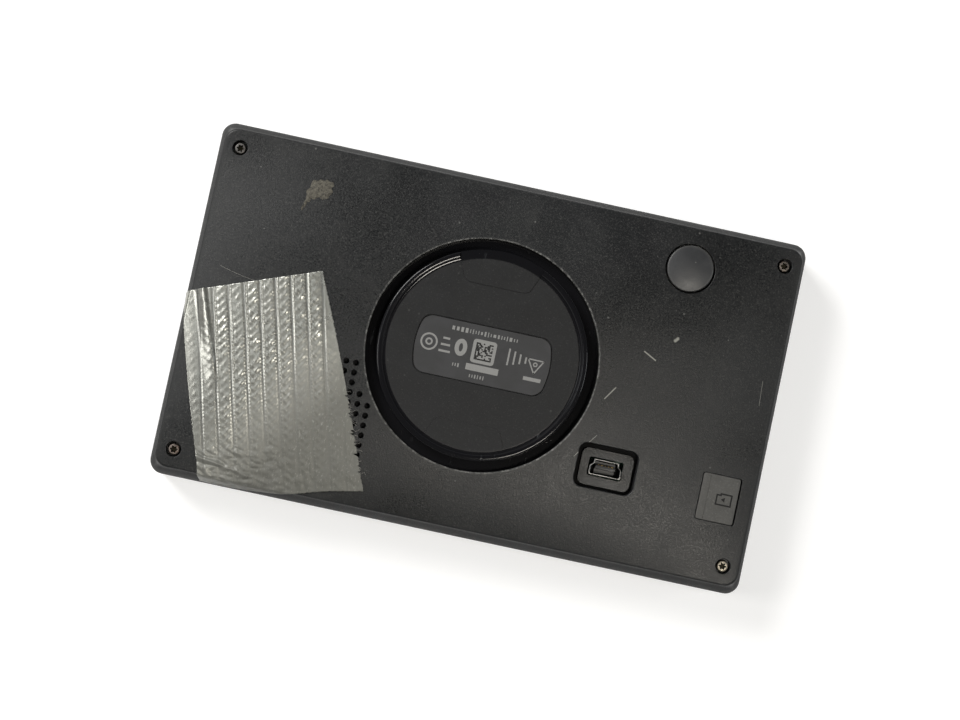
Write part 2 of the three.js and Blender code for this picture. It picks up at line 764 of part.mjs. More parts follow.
/** The label's outline: straight long sides, round corners and gently bowed ends. */
function labelOutline(inset) {
  const w = labelWidth / 2 - inset;
  const h = labelHeight / 2 - inset;
  const straight = w - labelEndRadius + Math.sqrt(labelEndRadius ** 2 - (h - labelCorner) ** 2);
  const shape = new THREE.Shape();
  shape.moveTo(straight - labelCorner, -h);
  shape.quadraticCurveTo(straight - labelCorner * 0.3, -h, straight, -h + labelCorner);
  shape.quadraticCurveTo(2 * w - straight, 0, straight, h - labelCorner);
  shape.quadraticCurveTo(straight - labelCorner * 0.3, h, straight - labelCorner, h);
  shape.lineTo(-straight + labelCorner, h);
  shape.quadraticCurveTo(-straight + labelCorner * 0.3, h, -straight, h - labelCorner);
  shape.quadraticCurveTo(-(2 * w - straight), 0, -straight, -h + labelCorner);
  shape.quadraticCurveTo(-straight + labelCorner * 0.3, -h, -straight + labelCorner, -h);
  return shape;
}

function mountPlate() {
  const bottom = grooveFloor - plateThickness;
  const chamfer = 0.3;
  const flange = grooveRadius + collarWall;
  const profile = [
    [0, bottom], [flange, bottom], [flange, grooveFloor], [neckRadius, grooveFloor],
    [neckRadius, lipTop - lipThickness - 0.7], [lipRadius, lipTop - lipThickness],
    [lipRadius, lipTop - chamfer], [lipRadius - chamfer, lipTop], [lipInner + chamfer, lipTop],
    [lipInner, discFace], [0, discFace],
  ];
  const padTop = discFace + padHeight;
  let body = turned(profile, 0, mountCentreY, fine);
  const hollow = neckRadius - discWall;
  body = body.subtract(round(0, mountCentreY, hollow, bottom - 1, discFace - discWall, 32));
  body = body.subtract(prism(padOutline(1), padTop, lipTop + 1));
  const reach = { 1: lipRadius - 0.7, '-1': lipInner + 0.2 };
  for (const side of [1, -1]) {
    const pad = prism(padOutline(side), discFace - 0.5, padTop);
    body = body.add(pad.intersect(round(0, mountCentreY, reach[side], discFace - 0.5, padTop, fine)));
  }
  const recess = prism(labelOutline(0), discFace - labelSunk, lipTop + 1, 5);
  return body.subtract(recess.translate([0, mountCentreY, 0]));
}

function idLabel() {
  const bottom = discFace - labelSunk + 0.1;
  return prism(labelOutline(0.25), bottom, bottom + labelThickness, 5).translate([0, mountCentreY, 0]);
}

// ---- Power button ----

/** The cap: a crowned top, a skirt and a flange that keeps it behind the cover. */
function buttonCap() {
  const under = plungerTop + seatGap;
  const flange = buttonReach;
  const crown = [0.45, 0.75, 1].map((share) => {
    const drop = buttonCrown * share ** 2;
    return [(buttonRadius - 0.3) * share, buttonTop + buttonCrown - drop];
  });
  const profile = [
    [0, under], [plungerRadius + 1, under], [plungerRadius + 1, under + 0.4], [flange, under + 0.4],
    [flange, buttonSeat - seatGap], [buttonRadius, buttonSeat - seatGap], [buttonRadius, buttonTop - 0.3],
    ...crown.reverse(), [0, buttonTop + buttonCrown],
  ];
  return turned(profile, buttonX, buttonY, 32);
}

function switchBase() {
  const top = partsBottom + switchHeight;
  const body = plate(switchSize, switchSize, 0.4, buttonX, buttonY, partsBottom, top);
  const collar = round(buttonX, buttonY, plungerRadius + 0.8, top - 0.3, top + 0.5);
  const bore = round(buttonX, buttonY, plungerRadius + 0.2, partsBottom + 0.3, top + 1);
  return body.add(collar).subtract(bore);
}

function switchPlunger() {
  const bottom = partsBottom + 0.3 + buttonTravel + 0.15;
  return turned([
    [0, bottom], [plungerRadius, bottom], [plungerRadius, plungerTop - 0.2],
    [plungerRadius - 0.2, plungerTop], [0, plungerTop],
  ], buttonX, buttonY);
}

// ---- Mini-B socket ----

/** The plug opening's outline: a wide part that narrows through two small steps. */
function usbOutline(inset) {
  const wide = usbWidth / 2 - inset;
  const narrow = usbWidth / 2 - 0.8 - inset;
  const top = usbHeight / 2 - inset;
  const step = 0.2;
  return new THREE.Shape([
    [-wide, -top], [wide, -top], [wide, step], [narrow, step + 0.6], [narrow, top],
    [-narrow, top], [-narrow, step + 0.6], [-wide, step],
  ].map(([x, y]) => new THREE.Vector2(x + usbX, y + usbY)));
}

function usbShell() {
  const top = usbFloor + usbStand;
  const outer = prism(usbOutline(0), partsBottom, top);
  return outer.subtract(prism(usbOutline(usbShellWall), partsBottom + 1, top + 1));
}

function usbTongue() {
  const low = partsBottom + 1 + seatGap;
  const middle = usbY + 0.1;
  const half = usbTongueThickness / 2;
  const w = usbTongueWidth / 2;
  const foot = usbHeight / 2 - usbShellWall - seatGap;
  const base = block(usbX - w, usbX + w, usbY - foot, usbY + foot, low, low + 0.9);
  return base.add(block(usbX - w, usbX + w, middle - half, middle + half, low, usbFloor));
}

// ---- Memory card socket and flap ----

const socketLeft = socketRight - cardSocketLength;

function cardSocket() {
  const half = cardSocketWidth / 2;
  const top = partsBottom + cardSocketHeight;
  const outer = block(socketLeft, socketRight, flapY - half, flapY + half, partsBottom, top);
  const sheet = cardSocketSheet;
  const bay = [socketLeft + sheet, socketRight + 1, flapY - half + sheet, flapY + half - sheet];
  return outer.subtract(block(...bay, partsBottom + sheet, top - sheet));
}

/** The sprung carriage that the card pushes in until it latches. */
function cardSlider() {
  const half = cardSocketWidth / 2 - cardSocketSheet - runGap;
  const low = partsBottom + cardSocketSheet + seatGap;
  const high = partsBottom + cardSocketHeight - cardSocketSheet - seatGap;
  const left = socketLeft + cardSocketSheet + runGap + cardTravel;
  const stop = block(left, left + 1.6, flapY - half, flapY + half, low, high);
  const arm = [left, left + 8, flapY + cardWidth / 2 + 0.15, flapY + half];
  return stop.add(block(...arm, low, high));
}

/** The flap: a soft cover that follows the rear face, with a plug on its inner side. */
function cardFlap() {
  const width = flapWidth - 2 * runGap;
  const height = flapHeight - 2 * runGap;
  const middle = (flapLeft + flapRight) / 2;
  const outline = roundedRectangle(width, height, 0.6, middle, flapY);
  const upper = domeBlock(-flapSunk, 0);
  const lower = domeBlock(-flapSunk - flapThickness, -1);
  const skin = prism(outline, cardFloor, lipTop).intersect(upper).subtract(lower);
  const left = flapLeft + runGap + 0.5;
  const rib = lengthways([
    [left, cardFloor + 1.8], [left + 1.4, cardFloor + 1.8], [left + 2.2, rearFace(left, flapY) - 1],
    [left, rearFace(left, flapY) - 1],
  ], flapY - height / 2 + 1.2, flapY + height / 2 - 1.2);
  return skin.add(rib);
}

// ---- Screws ----

/** A pan-head screw with a six-sided socket, pointing down. */
function screw(x, y, seat, tip, headRadius, headHeight, shankRadius) {
  const body = turned([
    [0, tip], [shankRadius - 0.3, tip], [shankRadius, tip + 0.5], [shankRadius, seat],
    [headRadius, seat], [headRadius, seat + headHeight - 0.3], [headRadius - 0.35, seat + headHeight],
    [0, seat + headHeight],
  ], x, y, coarse);
  const top = seat + headHeight;
  return body.subtract(round(x, y, socketRadius, top - socketDepth, top + 1, 6));
}

function boardScrew(x, y) {
  return screw(x, y, boardTop + 0.1, frameTop + 0.6, 1.6, 1.1, screwShankRadius * 0.8);
}

// ---- Tape patch ----

/** A strip of cloth tape pressed on the rear face and turned over the case's lower edge. */
function ductTape() {
  const left = -halfWidth;
  const low = -halfHeight;
  const corner = (x, y) => new THREE.Vector2(left + x, low + y);
  const outline = new THREE.Shape([
    corner(-0.45, 42.1), corner(1.3, 35.4), corner(5.3, 25.1), corner(9.6, 15.2), corner(13.5, 5.4),
    corner(13.7, 1.9), corner(15.3, -0.5), corner(33.8, -0.5), corner(34.3, 0.8), corner(49.9, 6.1),
    corner(45.6, 17.4), corner(39.9, 27.4), corner(37.6, 35), corner(34.2, 44.6), corner(30.2, 53.2),
  ]);
  const column = prism(outline, tapeWrap, lipTop + 2);
  const outer = rearForm(tapeLift + tapeThickness, tapeWrap - 2);
  const inner = rearForm(tapeLift, tapeWrap - 3);
  return column.intersect(outer).subtract(inner);
}

// ---- The assembly ----

const finishes = {
  coverPlastic: [0x25262a, 0.55, 0],
  bezelPlastic: [0x1b1c1e, 0.4, 0],
  glossPlastic: [0x0d0e10, 0.15, 0],
  labelFilm: [0x3a3c40, 0.6, 0],
  flapRubber: [0x5a5d60, 0.8, 0],
  darkSteel: [0x4a4642, 0.4, 1],
  nickel: [0x9a948a, 0.3, 1],
  springSteel: [0xb8bcc0, 0.3, 1],
  whiteNylon: [0xd8d4c6, 0.6, 0],
  lightGuide: [0xc7c9cc, 0.4, 0],
  blackNylon: [0x101113, 0.5, 0],
  glass: [0x0a0c10, 0.05, 0],
  foam: [0x2a2a2c, 0.95, 0],
  magnesium: [0x8f9398, 0.5, 1],
  circuitBoard: [0x1d4a35, 0.5, 0],
  ceramic: [0xd9d2bd, 0.5, 0],
  batteryWrap: [0x2c3f6b, 0.5, 0],
  ribbonFilm: [0xb0702a, 0.5, 0],
  redWire: [0xa01c1c, 0.5, 0],
  blackWire: [0x151515, 0.5, 0],
  paper: [0x2e2c2a, 0.9, 0],
  tape: [0xa4a39d, 0.45, 0.2],
};

const materials = Object.fromEntries(Object.entries(finishes).map(([name, finish]) => {
  const [color, roughness, metalness] = finish;
  return [name, new THREE.MeshStandardMaterial({ color, roughness, metalness })];
}));

const navigator = new THREE.Group();

function add(name, body, material) {
  const mesh = new THREE.Mesh(geometryOf(body), materials[material]);
  mesh.name = name;
  navigator.add(mesh);
}

add('front_bezel', frontBezel(), 'bezelPlastic');
add('panel_gasket', panelGasket(), 'foam');
add('touch_panel', screenSheet(panelOverlap, panelBottom, panelThickness, 1.2), 'glass');
add('lcd_glass', screenSheet(glassOverlap, glassBottom, glassThickness, 0.5), 'glass');
add('lcd_backlight', backlight(), 'lightGuide');
add('inner_frame', innerFrame(), 'magnesium');

add('main_board', mainBoard(), 'circuitBoard');
add('processor_shield', shieldCan(...cpuShield), 'springSteel');
add('processor_chip', chip(cpuX - 4, cpuY + 4, 12, 12, 1.1), 'blackNylon');
add('memory_chip', chip(cpuX + 6, cpuY - 7, 8, 10, 0.9), 'blackNylon');
add('receiver_shield', shieldCan(...rfShield), 'springSteel');
add('receiver_chip', chip(rfShield[0], rfShield[1] + 2, 6, 6, 0.9), 'blackNylon');
add('gps_antenna', antenna(), 'ceramic');
add('display_connector', tailConnector(tailSlots.display), 'whiteNylon');
add('touch_connector', tailConnector(tailSlots.touch), 'whiteNylon');
const glassEdge = -(windowHeight / 2 + glassOverlap) - seatGap;
const panelEdge = -(windowHeight / 2 + panelOverlap) - seatGap;
add('display_tail', tail(tailSlots.display, glassEdge, glassBottom + glassThickness / 2), 'ribbonFilm');
add('touch_tail', tail(tailSlots.touch, panelEdge, panelBottom + panelThickness / 2), 'ribbonFilm');

add('battery', battery(), 'batteryWrap');
add('battery_socket', batterySocket(), 'whiteNylon');
add('battery_plug', batteryPlug(), 'whiteNylon');
add('battery_lead_red', lead(batteryExit, batteryEntry, 1.2), 'redWire');
add('battery_lead_black', lead(batteryExit, batteryEntry, -1.2), 'blackWire');

add('speaker_basket', speakerBasket(), 'blackNylon');
add('speaker_magnet', speakerMagnet(), 'nickel');
add('speaker_cone', speakerCone(), 'paper');
add('speaker_gasket', speakerGasket(), 'foam');
add('grille_cloth', grilleCloth(), 'foam');

add('power_switch', switchBase(), 'blackNylon');
add('switch_plunger', switchPlunger(), 'whiteNylon');
add('power_button', buttonCap(), 'coverPlastic');
add('usb_shell', usbShell(), 'nickel');
add('usb_tongue', usbTongue(), 'blackNylon');
add('card_socket', cardSocket(), 'springSteel');
add('card_slider', cardSlider(), 'blackNylon');
add('card_flap', cardFlap(), 'flapRubber');

add('rear_cover', rearCover(), 'coverPlastic');
add('mount_plate', mountPlate(), 'glossPlastic');
add('id_label', idLabel(), 'labelFilm');
corners.forEach(([x, y], i) => {
  const head = [screwHeadRadius, screwHeadHeight, screwShankRadius];
  const finish = i === 3 ? 'nickel' : 'darkSteel';
  add(`cover_screw_${i + 1}`, screw(x, y, screwSeat + 0.1, screwTipHeight, ...head), finish);
});
boardPosts.forEach(([x, y], i) => add(`board_screw_${i + 1}`, boardScrew(x, y), 'springSteel'));
add('duct_tape', ductTape(), 'tape');

export default navigator;
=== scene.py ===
"""Portable GPS navigator: its visible pieces, its finishes and a plain studio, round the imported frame."""

import json
import math
import random

import bmesh
import bpy
from bpy.props import FloatProperty, FloatVectorProperty, PointerProperty
from mathutils import Matrix, Vector, noise


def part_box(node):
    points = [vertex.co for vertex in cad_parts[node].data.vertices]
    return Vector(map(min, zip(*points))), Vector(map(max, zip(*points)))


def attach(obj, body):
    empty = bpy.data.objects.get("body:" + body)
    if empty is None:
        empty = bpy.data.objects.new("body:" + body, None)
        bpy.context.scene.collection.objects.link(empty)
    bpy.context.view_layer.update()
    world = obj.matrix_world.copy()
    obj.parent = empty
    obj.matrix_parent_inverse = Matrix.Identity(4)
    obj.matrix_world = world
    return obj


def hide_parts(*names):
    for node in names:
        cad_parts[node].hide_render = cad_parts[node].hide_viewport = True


bl_info = {
    "name": "GPS Navigator Maker",
    "version": (1, 0, 0),
    "blender": (4, 5, 0),
    "location": "View3D > Sidebar > Navigator",
    "description": "Builds the cover, screen side, mount, tape and finishes of a portable navigator",
    "category": "Object",
}

MM = 0.001

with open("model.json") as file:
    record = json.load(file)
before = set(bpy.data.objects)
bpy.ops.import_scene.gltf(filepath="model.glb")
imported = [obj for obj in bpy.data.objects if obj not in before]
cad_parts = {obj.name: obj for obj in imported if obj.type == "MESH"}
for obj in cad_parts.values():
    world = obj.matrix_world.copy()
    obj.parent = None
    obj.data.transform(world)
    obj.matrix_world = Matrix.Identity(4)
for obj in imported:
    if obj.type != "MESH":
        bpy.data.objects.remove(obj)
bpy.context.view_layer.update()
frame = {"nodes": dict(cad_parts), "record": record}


# ---- Places taken from the frame ----


def box_middle(node):
    low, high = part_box(node)
    return (low + high) / 2


def box_size(node):
    low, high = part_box(node)
    return high - low


CASE_LOW, CASE_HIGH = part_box("front_bezel")
HALF_X = (CASE_HIGH.x - CASE_LOW.x) / 2
HALF_Y = (CASE_HIGH.y - CASE_LOW.y) / 2
SEAM_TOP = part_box("rear_cover")[0].z
SEAM_GAP = 0.2 * MM
RING = box_middle("mount_plate")
LIP_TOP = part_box("mount_plate")[1].z
COLLAR_RADIUS = box_size("mount_plate").x / 2
COLLAR_WALL = 1.6 * MM
GROOVE_RADIUS = COLLAR_RADIUS - COLLAR_WALL
GROOVE_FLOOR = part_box("mount_plate")[0].z + 1.2 * MM
BUTTON = box_middle("power_button")
BUTTON_FLANGE = box_size("power_button").x / 2
FLANGE_REACH = 0.8 * MM
BUTTON_GAP = 0.45 * MM
LIP_ROUND = 0.45 * MM
USB = box_middle("usb_shell")
USB_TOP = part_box("usb_shell")[1].z
USB_PAD = USB_TOP - 0.8 * MM
FLAP_LOW, FLAP_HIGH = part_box("card_flap")
FLAP_SPREAD = 0.12 * MM
SCREWS = [f"cover_screw_{i}" for i in (1, 2, 3, 4)]
TAPE_LOW, TAPE_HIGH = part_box("duct_tape")

CORNER = 3.2 * MM
WALL = 1.8 * MM
SHOULDER_START = 9.5 * MM
LEAN_X = 1.7 * MM
LEAN_Y = 2.2 * MM
GRILLE_HOLE = 0.64 * MM
GRILLE_PITCH = 2.285 * MM
GRILLE_COUNT = 11
GRILLE_LEFT = 24.0 * MM
GRILLE_LOW = 11.5 * MM
GRILLE_CLEAR = 28.1 * MM


class NavigatorSettings(bpy.types.PropertyGroup):
    """Sizes and colours of the navigator that a user would change."""

    edge_height: FloatProperty(
        name="Edge height", description="Height of the rear cover at its rim",
        default=16.5 * MM, unit="LENGTH")
    dome_rise: FloatProperty(
        name="Dome rise", description="How far the rear face rises from its rim to its middle",
        default=4.0 * MM, unit="LENGTH")
    rim_round: FloatProperty(
        name="Rim round", description="Radius of the rear face's outer edge",
        default=0.45 * MM, unit="LENGTH")
    cover_colour: FloatVectorProperty(
        name="Cover colour", description="Colour of the grained rear cover",
        default=(0.0075, 0.008, 0.0085), size=3, subtype="COLOR")
    bezel_colour: FloatVectorProperty(
        name="Bezel colour", description="Colour of the smooth front bezel",
        default=(0.012, 0.0125, 0.0135), size=3, subtype="COLOR")
    flap_colour: FloatVectorProperty(
        name="Flap colour", description="Colour of the soft card flap",
        default=(0.078, 0.077, 0.073), size=3, subtype="COLOR")
    tape_colour: FloatVectorProperty(
        name="Tape colour", description="Colour of the cloth tape",
        default=(0.31, 0.312, 0.285), size=3, subtype="COLOR")
    lamp_power: FloatProperty(
        name="Lamp power", description="Power of the main soft lamp", default=9.0, subtype="POWER")


def settings():
    return bpy.context.scene.navigator


# ---- Shader expressions ----


class Signal:
    """A value that varies over a surface; arithmetic on it adds the Math nodes it needs."""

    def __init__(self, finish, socket):
        self.finish = finish
        self.socket = socket

    def _math(self, operation, first, second=None, clamp=False):
        inputs = {0: first} if second is None else {0: first, 1: second}
        chosen = {"operation": operation, "use_clamp": clamp}
        return self.finish.node("ShaderNodeMath", chosen, inputs)

    def __add__(self, other):
        return self._math("ADD", self, other)

    def __sub__(self, other):
        return self._math("SUBTRACT", self, other)

    def __mul__(self, other):
        return self._math("MULTIPLY", self, other)

    def __truediv__(self, other):
        return self._math("DIVIDE", self, other)

    def __pow__(self, other):
        return self._math("POWER", self, other)

    def __rsub__(self, other):
        return self._math("SUBTRACT", other, self)

    def __rtruediv__(self, other):
        return self._math("DIVIDE", other, self)

    def __gt__(self, other):
        return self._math("GREATER_THAN", self, other)

    def __lt__(self, other):
        return self._math("LESS_THAN", self, other)

    __radd__ = __add__
    __rmul__ = __mul__

    def clamped(self):
        return self._math("ADD", self, 0.0, clamp=True)

    def magnitude(self):
        return self._math("ABSOLUTE", self)

    def root(self):
        return self._math("SQRT", self)

    def fraction(self):
        return self._math("FRACT", self)

    def sine(self):
        return self._math("SINE", self)

    def at_most(self, other):
        return self._math("MINIMUM", self, other)

    def at_least(self, other):
        return self._math("MAXIMUM", self, other)

    def step(self, start, end):
        """Rises smoothly from 0 at start to 1 at end; falls when end is the smaller."""
        chosen = {"interpolation_type": "SMOOTHSTEP"}
        low, high, first, last = (start, end, 0.0, 1.0) if start < end else (end, start, 1.0, 0.0)
        return self.finish.node("ShaderNodeMapRange", chosen, {0: self, 1: low, 2: high, 3: first, 4: last})


class Finish:
    """One material, built from expressions on Object coordinates."""

    def __init__(self, name, **constants):
        self.material = bpy.data.materials.new(name)
        self.material.use_nodes = True
        self.tree = self.material.node_tree
        self.shader = self.tree.nodes["Principled BSDF"]
        place = self.tree.nodes.new("ShaderNodeTexCoord")
        self.place = Signal(self, place.outputs["Object"])
        self.x, self.y, self.z = (self.node("ShaderNodeSeparateXYZ", {}, {0: self.place}, output=i)
                                  for i in range(3))
        for socket, value in constants.items():
            self.set(socket.replace("_", " "), value)

    def set(self, socket, value):
        """Sets or feeds one of the shader's own sockets."""
        self._feed(self.shader.inputs[socket], value)
        return self

    def _feed(self, target, value):
        if isinstance(value, Signal):
            self.tree.links.new(value.socket, target)
        elif hasattr(value, "__len__") and len(value) == 3 and len(getattr(target, "default_value", ())) == 4:
            target.default_value = (*value, 1.0)
        else:
            target.default_value = value

    def node(self, kind, chosen, inputs, output=0):
        """Adds a node with its settings first and then its inputs, and returns one output."""
        made = self.tree.nodes.new(kind)
        for name, value in chosen.items():
            if name == "stops":
                self._stops(made.color_ramp, value)
            else:
                setattr(made, name, value)
        for socket, value in inputs.items():
            self._feed(made.inputs[socket], value)
        return Signal(self, made.outputs[output])

    @staticmethod
    def _stops(ramp, stops):
        while len(ramp.elements) < len(stops):
            ramp.elements.new(1.0)
        for element, (position, colour) in zip(ramp.elements, stops):
            element.position = position
            element.color = (*colour, 1.0)

    def mapped(self, scale=(1, 1, 1), turn=0.0, shift=(0, 0, 0)):
        inputs = {"Vector": self.place, "Location": shift, "Rotation": (0, 0, turn), "Scale": scale}
        return self.node("ShaderNodeMapping", {}, inputs)

    def noise(self, size, detail=2.0, rough=0.5, warp=0.0, where=None):
        """Soft noise whose features are about size metres across."""
        inputs = {"Vector": where or self.place, "Scale": 1 / size, "Detail": detail,
                  "Roughness": rough, "Distortion": warp}
        return self.node("ShaderNodeTexNoise", {}, inputs)

    def cells(self, size, feature="F1", where=None, output="Distance"):
        inputs = {"Vector": where or self.place, "Scale": 1 / size}
        return self.node("ShaderNodeTexVoronoi", {"feature": feature}, inputs, output=output)

    def mix(self, share, first, second):
        """A colour between two, by share."""
        chosen = {"data_type": "RGBA"}
        return self.node("ShaderNodeMix", chosen, {0: share, 6: first, 7: second}, output=2)

    def bump(self, height, distance, strength=1.0, onto=None):
        inputs = {"Height": height, "Distance": distance, "Strength": strength}
        if onto is not None:
            inputs["Normal"] = onto
        return self.node("ShaderNodeBump", {}, inputs)

    def radius(self, x, y):
        """Distance from an upright axis."""
        across = self.x - x
        along = self.y - y
        return (across * across + along * along).root()

    def stroke(self, start, end, width):
        """1 on a thin line from start to end, falling to 0 at its sides."""
        direction = Vector(end) - Vector(start)
        length = direction.length
        unit = direction / length
        across = self.x - start[0]
        along = self.y - start[1]
        run = across * unit.x + along * unit.y
        held = run.at_least(0.0).at_most(length)
        aside_x = across - held * unit.x
        aside_y = along - held * unit.y
        gap = (aside_x * aside_x + aside_y * aside_y).root()
        return gap.step(width, width * 0.3)


# ---- Finishes of the outside ----


def dust(finish, size, amount):
    """Sparse pale specks: 1 on a speck."""
    cell = finish.cells(size)
    pick = finish.cells(size, output="Color")
    chance = finish.node("ShaderNodeSeparateColor", {}, {0: pick})
    return cell.step(0.16, 0.08) * (chance > 1 - amount)


def cover_finish():
    """Grained charcoal moulding with handling marks, scratches and dust; its groove rim is painted paler,
    partly as a highlight and partly as wear, and its collar wall and the socket's moat are painted near-black
    as shade.
    """
    own = Finish("cover_plastic", Specular_IOR_Level=0.3)
    colour = tuple(settings().cover_colour)
    grain = own.noise(0.38 * MM, detail=3.0, rough=0.75)
    smear = own.noise(11 * MM, detail=4.0, rough=0.62, warp=0.6)
    haze = own.noise(34 * MM, detail=2.0, rough=0.5, warp=0.3)
    from_ring = own.radius(RING.x, RING.y)
    rim = from_ring.step(GROOVE_RADIUS + 0.55 * MM, GROOVE_RADIUS + 0.12 * MM)
    rim = rim * (own.z > GROOVE_FLOOR + 2.6 * MM)
    chips = own.noise(0.9 * MM, detail=3.0, rough=0.7).step(0.45, 0.66)
    scratches = None
    for start, end, width in cover_scratches():
        line = own.stroke(start, end, width)
        scratches = line if scratches is None else scratches.at_least(line)
    specks = dust(own, 1.9 * MM, 0.05).at_least(dust(own, 0.7 * MM, 0.03))
    depth = own.z - USB_PAD
    moat = (own.radius(USB.x, USB.y) < 9 * MM) * (depth < -0.6 * MM)
    inset = (HALF_X - own.x.magnitude()).at_most(HALF_Y - own.y.magnitude())
    shoulder = inset.step(2.6 * MM, 1.3 * MM)
    wall = (from_ring < GROOVE_RADIUS + 0.02 * MM) * (own.z > SEAM_TOP + 6 * MM)
    # Painted shade: the collar wall inside the groove and the socket's moat are painted near-black.
    painted_shade = wall.at_least(moat)
    pale = own.mix(haze.step(0.3, 0.75), colour, tuple(c * 1.55 + 0.002 for c in colour))
    worn = own.mix(smear.step(0.55, 0.8) * 0.2, pale, (0.05, 0.05, 0.047))
    flecked = own.mix(grain.step(0.53, 0.68) * 0.65, worn, (0.042, 0.042, 0.04))
    # Painted highlight and wear: the groove rim is painted paler all round, more where chips fall.
    rim_highlight_and_wear = own.mix(rim * (0.12 + 0.6 * chips), flecked, (0.22, 0.22, 0.21))
    scored = own.mix(scratches * 0.75, rim_highlight_and_wear, (0.27, 0.27, 0.24))
    dusty = own.mix(specks * 0.3, scored, (0.2, 0.2, 0.19))
    own.set("Base Color", own.mix(painted_shade, dusty, (0.002, 0.002, 0.002)))
    rough = (0.24 + grain.step(0.35, 0.65) * 0.17 + smear.step(0.35, 0.8) * 0.08
             + haze.step(0.35, 0.7) * 0.05 + specks * 0.2)
    own.set("Roughness", rough * (1 - painted_shade) + wall * 0.6 + moat * 0.9 + shoulder * 0.35)
    height = grain * (1 - wall) + smear * 0.15 - scratches * 0.5 + specks * 0.5
    own.set("Normal", own.bump(height, 0.045 * MM, 1.0))
    return own.material


def cover_scratches():
    """Start, end and half width of the marks on the rear face."""
    return [
        ((36.4 * MM, 9.0 * MM), (39.3 * MM, 7.5 * MM), 0.22 * MM),
        ((29.6 * MM, -3.6 * MM), (31.6 * MM, -0.6 * MM), 0.2 * MM),
        ((42.9 * MM, 12.9 * MM), (43.4 * MM, 13.5 * MM), 0.5 * MM),
        ((25.4 * MM, -18.0 * MM), (29.6 * MM, -12.2 * MM), 0.09 * MM),
        ((65.0 * MM, 8.2 * MM), (65.3 * MM, 2.5 * MM), 0.05 * MM),
    ]


def bezel_finish():
    """Smooth black moulding with fine hairlines and paler smears."""
    own = Finish("bezel_plastic", Specular_IOR_Level=0.5)
    colour = tuple(settings().bezel_colour)
    smear = own.noise(9 * MM, detail=4.0, rough=0.6, warp=0.8)
    hair = own.noise(0.5 * MM, detail=2.0, where=own.mapped((1, 14, 1), 0.35))
    specks = dust(own, 1.5 * MM, 0.12)
    worn = own.mix(smear.step(0.5, 0.8) * 0.4, colour, (0.035, 0.035, 0.036))
    own.set("Base Color", own.mix(specks * 0.3, worn, (0.25, 0.25, 0.24)))
    own.set("Roughness", 0.3 + smear.step(0.35, 0.75) * 0.16 + hair.step(0.6, 0.75) * 0.08)
    own.set("Normal", own.bump(hair * 0.3 + specks, 0.01 * MM, 0.5))
    return own.material


def mount_finish():
    """Polished black groove and lip round a fine-grained disc that has caught dust."""
    own = Finish("mount_plastic", Specular_IOR_Level=0.24)
    from_ring = own.radius(RING.x, RING.y)
    face = from_ring.step(22.4 * MM, 21.9 * MM) * (own.z > LIP_TOP - 1.4 * MM)
    grain = own.noise(0.3 * MM, detail=3.0, rough=0.65)
    smear = own.noise(7 * MM, detail=4.0, rough=0.65, warp=0.5)
    specks = dust(own, 0.9 * MM, 0.16).at_least(dust(own, 2.3 * MM, 0.2))
    lint = own.noise(0.35 * MM, detail=2.0).step(0.62, 0.75)
    scuffs = own.noise(1.2 * MM, detail=3.0, rough=0.7, where=own.mapped((1, 0.15, 1), 0.6))
    marks = scuffs.step(0.6, 0.72) * smear.step(0.5, 0.7) * (1 - face)
    matt = own.mix(smear.step(0.35, 0.75), (0.006, 0.0064, 0.0072), (0.010, 0.0104, 0.0112))
    caught = (specks * 0.4 + lint * 0.1 + grain.step(0.56, 0.72) * 0.4).clamped()
    dirty = own.mix(caught, matt, (0.05, 0.05, 0.049))
    gloss = own.mix(marks * 0.5, (0.006, 0.006, 0.007), (0.05, 0.055, 0.06))
    own.set("Base Color", own.mix(face, gloss, dirty))
    own.set("Roughness", face * (0.5 + smear.step(0.4, 0.7) * 0.08) + (1 - face) * (0.12 + marks * 0.3))
    own.set("Normal", own.bump(grain * face + specks * 0.6 - marks * 0.3, 0.02 * MM, 0.6))
    return own.material


def label_finish():
    own = Finish("label_film", Specular_IOR_Level=0.4)
    fleck = own.noise(0.2 * MM, detail=3.0)
    smear = own.noise(5 * MM, detail=3.0, warp=0.4)
    own.set("Base Color", own.mix(smear.step(0.35, 0.7), (0.018, 0.0185, 0.02), (0.024, 0.0245, 0.027)))
    own.set("Roughness", 0.48 + fleck * 0.1)
    own.set("Normal", own.bump(fleck, 0.008 * MM, 0.5))
    return own.material


def print_finish():
    """White ink, a little thin in places."""
    own = Finish("label_ink", Specular_IOR_Level=0.3)
    thin = own.noise(0.3 * MM, detail=3.0, rough=0.7)
    own.set("Base Color", own.mix(thin.step(0.55, 0.8) * 0.5, (0.2, 0.2, 0.195), (0.1, 0.1, 0.1)))
    own.set("Roughness", 0.55 + thin * 0.1)
    return own.material


def button_finish():
    """The cover's moulding, smoother from use, with a paler worn crown."""
    own = Finish("button_plastic", Specular_IOR_Level=0.5)
    grain = own.noise(0.2 * MM, detail=3.0, rough=0.6)
    smear = own.noise(4 * MM, detail=3.0, warp=0.5)
    out = own.radius(BUTTON.x, BUTTON.y)
    edge = out.step(4.7 * MM, 5.35 * MM)
    specks = dust(own, 1.1 * MM, 0.12)
    worn = own.mix(edge * 0.5 + smear.step(0.55, 0.8) * 0.2, (0.021, 0.022, 0.024), (0.055, 0.055, 0.053))
    own.set("Base Color", own.mix(specks * 0.4, worn, (0.3, 0.3, 0.28)))
    own.set("Roughness", 0.4 + smear.step(0.4, 0.8) * 0.12)
    own.set("Normal", own.bump(grain + specks, 0.02 * MM, 0.6))
    return own.material


